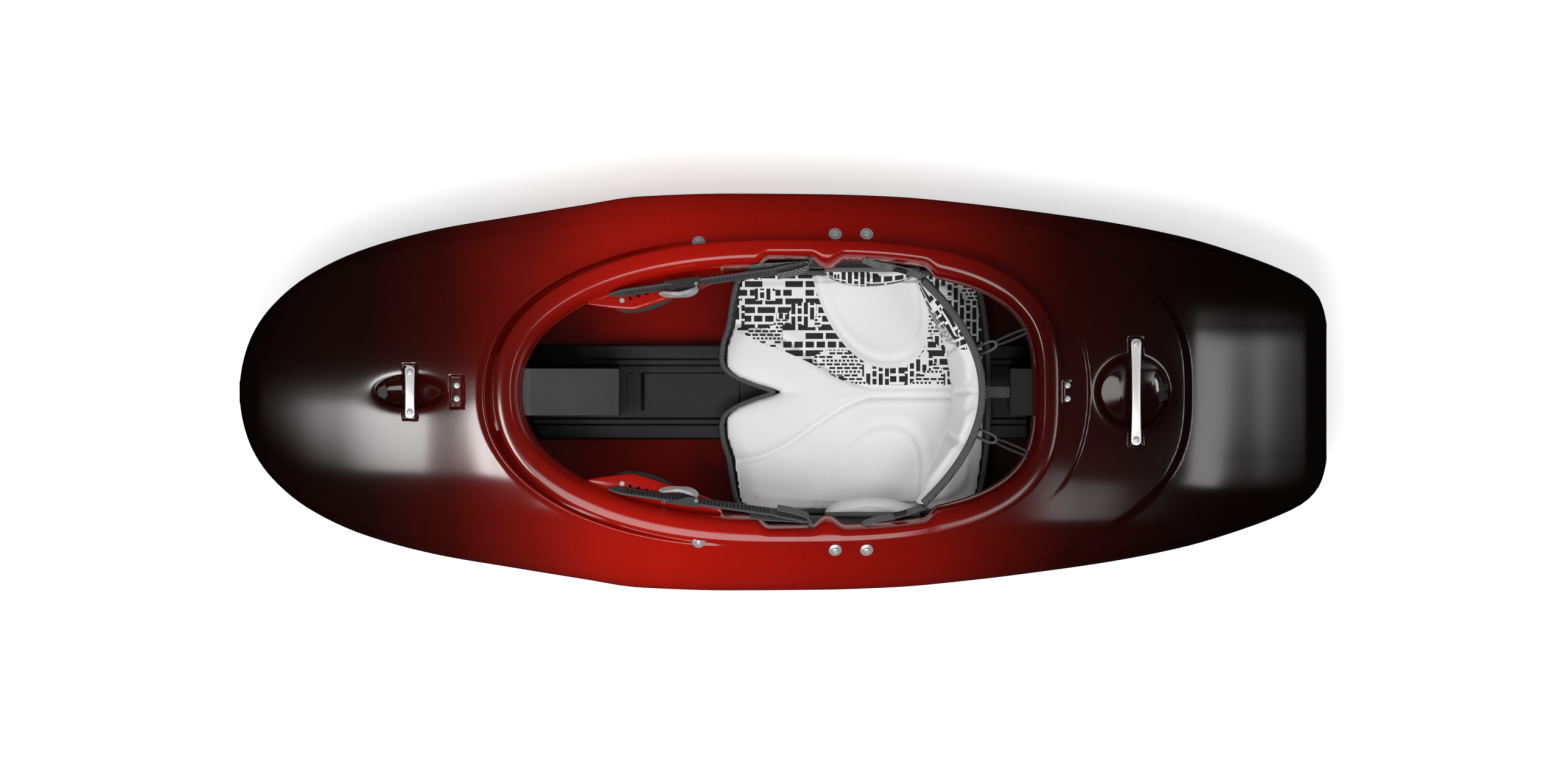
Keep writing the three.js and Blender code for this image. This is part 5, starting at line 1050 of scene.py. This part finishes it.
def hip_pad(side, sign, look):
    """A lens of foam against the seat's ear: thickest in its middle, with a bound upper edge."""
    def build(full):
        """The lens: as thick as its cover when full, and else with room for the cover to swell."""
        share = (1 - np.cos(np.linspace(0, np.pi, 70))) / 2
        up = (1 - np.cos(np.linspace(0, np.pi, 40))) / 2
        x = HIP_FRONT + (HIP_REAR - HIP_FRONT) * share
        swell = np.sqrt(np.clip(1 - np.abs(2 * share - 1) ** 2.2, 0.01, 1)) * (1 - 0.18 * share)
        z = HIP_LOW + (HIP_HIGH - HIP_LOW) * up
        bulge = np.sqrt(np.clip(1 - np.abs(2 * up - 1) ** 3.4, 0.03, 1))
        thick = HIP_THICK if full else HIP_THICK - CLOTH_CAP * 0.5
        y = hip_back(z)[None, :] - thick * swell[:, None] * bulge[None, :]
        xx, zz = np.broadcast_to(x[:, None], y.shape), np.broadcast_to(z[None, :], y.shape)
        front = np.stack([xx, y, zz], -1)
        behind = np.broadcast_to(hip_back(z)[None, :], y.shape)
        back = np.stack([xx, behind, zz], -1)[:, ::-4]
        grid = np.concatenate([front, back], 1)
        grid[..., 1] *= sign
        return surface("hip_pad", grid, close_columns=True, caps=True)

    def shape(p, normal):
        """Keeps the blown-up cover off the ear and between the pad's lower and upper edge."""
        x, y, z = p.T
        low, high = HIP_LOW - 1, HIP_HIGH + 1
        return np.stack([x, np.minimum(y * sign, hip_back(z)) * sign, np.clip(z, low, high)], 1)

    padded_cover(f"hip_cover_{side}", "seat", build, shape, look, [f"hip_pad_{side}"],
                 lambda p: p[:, 1] - 40)
    xs = np.linspace(HIP_FRONT + 1, HIP_REAR - 1, 60)
    path = np.stack([xs, np.full(60, (hip_back(HIP_HIGH) - 3.6) * sign), np.full(60, HIP_HIGH + 1.5)], 1)
    shown(f"hip_binding_{side}", "seat",
          carried("hip_binding", path, ring_profile(4.2, 3.4, 20, 3.0)), webbing_look)


hip_pad("right", 1, right_hip_fabric)
hip_pad("left", -1, left_hip_fabric)

# Backband: its apex, how far its ends come forward, its half width, lowest and highest edge; then the edges
# at its ends, how far it leans back, its shell's thickness, and the pad's in the middle and at the edge
BAND_APEX, BAND_DEPTH, BAND_HALF, BAND_LOW, BAND_HIGH = 338, 98, 191, 116, 246
BAND_END_LOW, BAND_END_HIGH, BAND_LEAN, BAND_SHELL, BAND_PAD, BAND_EDGE = 200, 240, 0.3, 4, 20, 7


def band_point(across, up, off):
    """A point of the band: across from -1 to 1, up from its lower edge, off forward from its shell."""
    ends = across ** 2
    low = BAND_LOW + (BAND_END_LOW - BAND_LOW) * ends
    high = BAND_HIGH + (BAND_END_HIGH - BAND_HIGH) * ends
    z = low + (high - low) * up
    x = BAND_APEX - (BAND_HIGH - z) * BAND_LEAN - BAND_DEPTH * ends - off
    return np.stack(np.broadcast_arrays(x, BAND_HALF * across - across * off * 0.6, z), -1)


def band_folds(y, up):
    """How deep the seams fold the pad where it bends round the back, less the belly between them."""
    side = 7.5 * np.exp(-((np.abs(y) - 88 + 26 * (1 - up)) / 7) ** 2) * smooth_step(up * 2.2)
    middle = 5 * np.exp(-(y / 5) ** 2) * smooth_step((up - 0.35) / 0.2)
    return side + middle - 4 * np.exp(-((up - 0.42) / 0.3) ** 2) * np.exp(-(y / 70) ** 4)


def band_pad_mesh(folded):
    """The padded front of the band."""
    a = np.linspace(-1, 1, 181)[:, None]
    u = ((1 - np.cos(np.linspace(0, np.pi, 60))) / 2)[None, :]
    swell = np.sqrt(np.clip(1 - np.abs(2 * u - 1) ** 5, 0.04, 1)) * (1 - np.abs(a) ** 6 * 0.7)
    thick = BAND_EDGE + (BAND_PAD - BAND_EDGE) * swell
    thick = thick - band_folds(a * BAND_HALF, u) * swell if folded else thick - CLOTH_CAP * 0.8 * swell
    grid = band_point(a, u, BAND_SHELL + 0.6 + thick)
    back = band_point(a, u[:, ::-6], np.full((181, 1), BAND_SHELL + 0.6))
    return surface("backband_cover", np.concatenate([grid, back], 1), close_columns=True, caps=True)


def band_shape(p, normal):
    """Presses the folds into the blown-up cover where it faces forward, and keeps it off the shell."""
    x, y, z = p.T
    across = np.clip(y / BAND_HALF, -1, 1)
    low = BAND_LOW + (BAND_END_LOW - BAND_LOW) * across ** 2
    high = BAND_HIGH + (BAND_END_HIGH - BAND_HIGH) * across ** 2
    up = np.clip((z - low) / (high - low), 0, 1)
    facing = smooth_step((-normal[:, 0] - 0.05) / 0.5) * np.sqrt(np.clip(1 - np.abs(2 * up - 1) ** 5, 0, 1))
    moved = x + band_folds(y, up) * facing
    shell = BAND_APEX - (BAND_HIGH - z) * BAND_LEAN - BAND_DEPTH * across ** 2 - BAND_SHELL - 0.6
    return np.stack([np.minimum(moved, np.maximum(shell, moved - 4)), y, z], 1)


padded_cover("backband_cover", "backband", band_pad_mesh, band_shape, band_fabric, ["backband_pad"],
             lambda p: p[:, 1] - 84 + (p[:, 2] - 180) * 0.25)
band_edge = band_point(np.linspace(-0.995, 0.995, 160), 1.0, 7.0) + (0, 0, 1.0)
shown("backband_binding", "backband",
      carried("backband_binding", band_edge, ring_profile(6.3, 5.4, 24, 2.6)), binding_look)

# Straps: the ladder strap's own directions along, across and out, and its centre, on the right side; then
# where its tip, teeth and tail end, its width, the teeth's distance and how high they and the gaps are
STRAP_U = np.array([0.986179, 0.138603, -0.090778])
STRAP_V = np.array([0.009445, 0.499978, 0.865987])
STRAP_W = np.cross(STRAP_U, STRAP_V)
STRAP_CENTRE = np.array([-170, 180.5, 290.23])
LADDER_FRONT, LADDER_REAR, LADDER_TAIL, LADDER_WIDTH = -124, 150, 210, 20
TOOTH_PITCH, TOOTH_HIGH, TOOTH_BACK = 6.4, 5.0, 2.2


def on_strap(u, v, w, sign):
    """A point of the strap's own frame, on the right side or mirrored to the left."""
    u, v, w = np.broadcast_arrays(u, v, w)
    point = STRAP_CENTRE + u[..., None] * STRAP_U + v[..., None] * STRAP_V + w[..., None] * STRAP_W
    return point * (1, sign, 1)


def ladder_mesh(sign):
    """A strip with teeth between two rails; its front end is a leaf's tip and its tail widens, then narrows
    at its very end.
    """
    u = np.linspace(LADDER_FRONT, LADDER_TAIL, 835)
    tip = np.clip((u - LADDER_FRONT) / 34, 0, 1)
    half = LADDER_WIDTH / 2 * np.clip(np.sin(tip * np.pi / 2), 0.04, 1) ** 0.8
    share = np.array([-1, -0.97, -0.86, -0.8, -0.74, -0.5, -0.25, 0, 0.25, 0.5, 0.74, 0.8, 0.86, 0.97, 1.0])
    phase = (LADDER_REAR - u) / TOOTH_PITCH % 1
    tooth = smooth_step((phase - 0.05) / 0.12) * (1 - smooth_step((phase - 0.5) / 0.12))
    toothed = smooth_step((u - LADDER_FRONT - 26) / 4) * (1 - smooth_step((u - LADDER_REAR + 3) / 3))
    inner = TOOTH_BACK + (TOOTH_HIGH - TOOTH_BACK) * tooth * toothed + 0.9 * (1 - toothed)
    rail = TOOTH_BACK + 1.7
    mask = 1 - smooth_step((np.abs(share) - 0.76) / 0.05)
    top = rail + (inner[:, None] - rail) * mask[None, :]
    top[:, [0, -1]] = 0.5
    bend = np.where(u > LADDER_REAR, (u - LADDER_REAR) * math.tan(math.radians(3)), 0)
    wide = 1 + 0.22 * smooth_step((u - LADDER_REAR - 4) / 12)
    end = wide * (1 - 0.45 * smooth_step((u - LADDER_TAIL + 5) / 5))
    v = half[:, None] * share[None, :] * end[:, None]
    upper = on_strap(u[:, None], v, top - bend[:, None], sign)
    lower = on_strap(u[:, None], v[:, ::-2], -bend[:, None], sign)
    grid = np.concatenate([upper, lower], 1)
    return surface("ladder_strap", grid, close_columns=True, caps=True, weld=0.001)


def band_mesh(name, path, across, width, thickness, ribs, pitch):
    """Webbing along a path: a flat rounded band whose width runs along given directions, with cross ribs
    that swell it by a sine of the distance along it."""
    direction = scaled_to_one(np.gradient(path, axis=0))
    across = scaled_to_one(across - (across * direction).sum(1, keepdims=True) * direction)
    normal = np.cross(direction, across)
    profile = ring_profile(width / 2, thickness / 2, 22, 5.0)
    run = np.concatenate([[0], np.cumsum(np.linalg.norm(np.diff(path, axis=0), axis=1))])
    swell = 1 + ribs * np.sin(run / pitch * 2 * np.pi)
    grid = (path[:, None] + across[:, None] * profile[None, :, :1]
            + normal[:, None] * profile[None, :, 1:] * swell[:, None, None])
    return surface(name, grid, close_columns=True, caps=True)


# Places on the right side: the coaming's slot for the front webbing; the rear webbing's slot and its end
FRONT_SLOT = np.array([45.5, 224.5, 272.7])
REAR_SLOT, BAND_TAB = np.array([131, 226.0, 265.5]), np.array([236, 190.5, 222])
# The front webbing's way round the strap's tail, in the strap's own directions
TAIL_LOOP = [(116, 5, -8.5), (140, 4.5, -8), (170, 2, -6.5), (196, 0.5, -5), (209, 0, -4.4),
             (214.5, -1, -0.5), (210, -2, 3.6), (196, -3, 6.6), (178, -4, 8.4), (160, -5, 8.6)]


def front_webbing(side, sign):
    """Webbing from its slot through the strap's tail, and back along the strap: a loop and its lead."""
    mirror = np.array([1, sign, 1])
    across = STRAP_V * mirror
    path = smooth_path([on_strap(*p, 1) for p in TAIL_LOOP], 120) * mirror
    loop = band_mesh("loop", path, np.broadcast_to(across, path.shape), 20, 1.6, 0.14, 2.2)
    path = smooth_path([on_strap(208, 0, -2.2, 1), on_strap(213, 0, -3.5, 1) + (1, 2, 1),
                        FRONT_SLOT + (-2.5, -4, 0.5), FRONT_SLOT + (0, 3, 1.0)], 40) * mirror
    turn = np.linspace(0, 1, 40)[:, None]
    lead = band_mesh("lead", path, across * (1 - turn) + np.array([0.75, 0.15 * sign, 0.65]) * turn,
                     15, 1.5, 0.12, 2.2)
    piece = shown(f"front_webbing_{side}_look", None,
                  joined_mesh("front_webbing", [loop, lead]), webbing_look, [f"front_webbing_{side}"])
    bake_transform(piece)


def rear_webbing(side, sign):
    """Webbing from the second slot to the end of the backband."""
    mirror = np.array([1, sign, 1])
    middle = REAR_SLOT * 0.35 + BAND_TAB * 0.65
    path = smooth_path([REAR_SLOT, REAR_SLOT + (4, -6.5, -1), middle, BAND_TAB], 90) * mirror
    widths = np.broadcast_to(np.array([0.16, 0.55 * sign, 0.8]), path.shape)
    piece = shown(f"rear_webbing_{side}_look", None,
                  band_mesh("rear_webbing", path, widths, 17, 1.5, 0.12, 2.2),
                  webbing_look, [f"rear_webbing_{side}"])
    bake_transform(piece)


for side, sign in (("right", 1), ("left", -1)):
    shown(f"ladder_strap_{side}_look", f"ladder_{side}", ladder_mesh(sign), strap_look,
          [f"ladder_strap_{side}"])
    front_webbing(side, sign)
    rear_webbing(side, sign)


# Where the right lever's pin is
LEVER_PIN = np.array([-146.518, 174.316, 293.544])


def lever(side, sign):
    """A clear crescent from its pin forward along the strap: widest at the pin, arched, with a blunt tip."""
    share = (1 - np.cos(np.linspace(0, np.pi, 60))) / 2
    along = 4 - 67 * share
    arch = 1 + 7 * np.sin(np.pi * share ** 0.8)
    close = np.sqrt(np.clip(1 - np.abs(2 * share - 1) ** 7, 0.02, 1))
    half_wide = (9.5 - 4.0 * share + 1.2 * np.sin(share * 9)) * close
    half_thick = (4.2 - 1.5 * share) * close
    ring = ring_profile(1, 1, 36, 3.4)
    v = -4 + 2 * share[:, None] + half_wide[:, None] * ring[None, :, 0]
    w = arch[:, None] + half_thick[:, None] * ring[None, :, 1]
    grid = LEVER_PIN + along[:, None, None] * STRAP_U + v[..., None] * STRAP_V + w[..., None] * STRAP_W
    mesh = surface("lever", grid * (1, sign, 1), close_columns=True, caps=True)
    shown(f"ratchet_lever_{side}_look", f"lever_{side}", mesh, clear_look,
          [f"ratchet_lever_{side}"])


lever("right", 1)
lever("left", -1)


# Thigh pads
def thigh_pad(side, sign):
    """A lens of foam under the shelf: its section is a rounded block that swells towards the middle."""
    row, normal = BRACE_ROW, SHELF_NORMAL
    across = np.cross(normal, row)
    base = FIRST_HOLE - normal * 6.3
    share = (1 - np.cos(np.linspace(0, np.pi, 64))) / 2
    swell = np.sqrt(np.clip(1 - (2 * share - 1) ** 2, 0.006, 1))
    u = -13.8 + 112 * share
    inner, outer = -7.8 - 21.1 * swell, -5.2
    top, low = -4.6, -4.6 - 22 * swell
    ring = ring_profile(1, 1, 40, 2.8)
    v = ((inner + outer) / 2)[:, None] + ((outer - inner) / 2)[:, None] * ring[None, :, 0]
    w = ((top + low) / 2)[:, None] + ((top - low) / 2)[:, None] * ring[None, :, 1]
    grid = base + u[:, None, None] * row + v[..., None] * across + w[..., None] * normal
    mesh = surface("thigh_pad", grid * (1, sign, 1), close_columns=True, caps=True)
    piece = shown(f"thigh_pad_{side}_look", f"brace_{side}", mesh, dark_foam_look,
                  [f"thigh_pad_{side}"])


thigh_pad("right", 1)
thigh_pad("left", -1)


# Hooks and elastic loops
def oval_path(start, finish, width, count=80):
    """A long oval between two points, flat across them."""
    start, finish = np.array(start, float), np.array(finish, float)
    length = np.linalg.norm(finish - start)
    direction = (finish - start) / length
    across = np.array([-direction[1], direction[0], 0])
    across /= np.linalg.norm(across)
    t = np.linspace(0, 2 * np.pi, count, endpoint=False)
    c, s = np.cos(t), np.sin(t)
    run = length / 2 + (length / 2) * np.sign(c) * np.abs(c) ** 0.62
    wide = width / 2 * np.sign(s) * np.abs(s) ** 0.85
    return start + run[:, None] * direction + wide[:, None] * across


def tail_fittings(side, sign):
    """One side's snap hook on the backband, and the elastic loop from it to the coaming's rear."""
    low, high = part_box(f"backband_hook_{side}")
    start = np.array([low[0] / MM + 3, 66 * sign, 214.5])
    far = np.array([408, 104 * sign, 252.5])
    direction = (far - start) / np.linalg.norm(far - start)
    hook = ring_along("hook", oval_path(start, start + direction * 42, 14.5), ring_profile(2.3, 2.7, 14))
    shown(f"backband_hook_{side}_look", "backband", hook, hook_look,
          [f"backband_hook_{side}"])
    loop = ring_along("loop", oval_path(start + direction * 40, far + direction * 2, 9),
                      ring_profile(2.2, 2.2, 14))
    piece = shown(f"elastic_loop_{side}_look", None, loop, elastic_look,
                  [f"elastic_loop_{side}"])
    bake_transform(piece)


tail_fittings("right", 1)
tail_fittings("left", -1)


def rear_strap():
    """Ribbed webbing from the backband's lower edge up over the beam to the rear pillar."""
    low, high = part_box("rear_strap")
    x0, x1 = low[0] / MM, high[0] / MM
    x = np.linspace(x0, x1, 90)
    z = np.linspace(high[2] / MM - 1.6, low[2] / MM + 3.5, 90)
    path = np.stack([x, np.zeros(90), z], 1)
    widths = np.broadcast_to(np.array([0, 1.0, 0]), path.shape)
    strap = shown("rear_strap_look", None,
                  band_mesh("rear_strap", path, widths, 19, 2.2, 0.3, 4.2), webbing_look, ["rear_strap"])
    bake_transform(strap)


rear_strap()

# Finishes of the frame's own pieces, and how wide their soft edges are
CAD_LOOKS = {
    "centre_beam": beam_look, "front_pillar": pillar_look, "rear_pillar": rear_pillar_shaded_look,
    "foot_block": dark_foam_look, "seat_pan": black_look, "backband_shell": black_look,
    "thigh_brace": black_look, "brace_screw": steel_look, "ratchet_base": buckle_look,
    "ratchet_anchor_bolt": steel_look, "lever_pin": steel_look, "webbing_keeper": hook_loop_look,
}
CAD_BEVEL_MM = {"centre_beam": 3.0, "front_pillar": 2.5, "rear_pillar": 2.5, "webbing_keeper": 0.8,
                "ratchet_base": 0.5, "thigh_brace": 0.6}


def finish_cad():
    """Gives the frame's own pieces their materials, and some of them soft edges."""
    for name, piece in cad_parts.items():
        kind = name.removesuffix("_right").removesuffix("_left")
        if kind not in CAD_LOOKS:
            continue
        piece.data.materials.clear()
        piece.data.materials.append(CAD_LOOKS[kind])
        if kind in CAD_BEVEL_MM:
            soft = piece.modifiers.new("soft_edges", "BEVEL")
            soft.width, soft.segments, soft.limit_method = CAD_BEVEL_MM[kind] * MM, 3, "ANGLE"
            soft.harden_normals = False


finish_cad()

# Lights, floor and world. A lamp has its name, place and aim in metres, its width and height, and its watts.
LAMPS = [("softbox", (-0.1, -1.9, 4.0), (0, 0, 0.2), 2.5, 2.0, 80),
         ("bow_box", (-1.74, -0.95, 4.0), (-1.74, -0.95, 0), 0.46, 1.7, 48),
         ("stern_box", (2.3, -0.3, 3.95), (0.77, 0, 0.2), 1.5, 0.75, 17)]
FLOOR_HALF_MM, FLOOR_Z_MM, FLOOR_GLOW = 9000, -0.5, 0.36
# How bright the world is for most rays, for mirrored ones and where the camera sees it
SKY_PLAIN, SKY_MIRRORED, SKY_SEEN = 0.54, 0.03, 1.0

bpy.context.scene.view_settings.view_transform = "Standard"


def area_light(name, place, aim, width, height, watts):
    """A rectangular lamp that shines from its place towards its aim."""
    data = bpy.data.lights.new(name, "AREA")
    data.shape, data.size, data.size_y, data.energy = "RECTANGLE", width, height, watts
    light = bpy.data.objects.new(name, data)
    light.location = place
    light.rotation_euler = (Vector(aim) - Vector(place)).to_track_quat("-Z", "Y").to_euler()
    bpy.context.scene.collection.objects.link(light)


def floor():
    """A plain white studio floor: white where the camera sees it lit, dim in what a glossy hull mirrors."""
    ends = (-FLOOR_HALF_MM, FLOOR_HALF_MM)
    corners = [[(x, y, FLOOR_Z_MM) for x in ends] for y in ends]
    mesh = surface("floor", np.array(corners, float))
    material, tree, point = new_material("matte_white_floor")
    ray = node(tree, "ShaderNodeLightPath")
    tone = node(tree, "ShaderNodeMixRGB", Fac=ray.outputs["Is Glossy Ray"], Color1=linear("fdfdfd"),
                Color2=linear("181818"))
    glow = node(tree, "ShaderNodeMath", {"operation": "MULTIPLY"}, i0=ray.outputs["Is Camera Ray"],
                i1=FLOOR_GLOW)
    finished(material, Base_Color=tone.outputs[0], Emission_Color=(1, 1, 1, 1),
             Emission_Strength=glow.outputs[0], Roughness=0.9, Specular_IOR_Level=0.0)
    mesh.materials.append(material)
    piece = bpy.data.objects.new("floor", mesh)
    bpy.context.scene.collection.objects.link(piece)


def studio():
    """A white world whose strength depends on the ray that meets it, and the lamps."""
    world = bpy.data.worlds.new("studio")
    bpy.context.scene.world = world
    world.use_nodes = True
    tree = world.node_tree
    tree.nodes.clear()
    path = node(tree, "ShaderNodeLightPath")
    seen = node(tree, "ShaderNodeMath", {"operation": "MAXIMUM"}, i0=path.outputs["Is Camera Ray"],
                i1=path.outputs["Is Transmission Ray"])
    plain, dark, bright = [node(tree, "ShaderNodeBackground", Color=(1, 1, 1, 1), Strength=strength)
                           for strength in (SKY_PLAIN, SKY_MIRRORED, SKY_SEEN)]
    mirrored = node(tree, "ShaderNodeMixShader", i0=path.outputs["Is Glossy Ray"], i1=plain.outputs[0],
                    i2=dark.outputs[0])
    mixed = node(tree, "ShaderNodeMixShader", i0=seen.outputs[0], i1=mirrored.outputs[0],
                 i2=bright.outputs[0])
    node(tree, "ShaderNodeOutputWorld", i0=mixed.outputs[0])
    for lamp in LAMPS:
        area_light(*lamp)


floor()
studio()
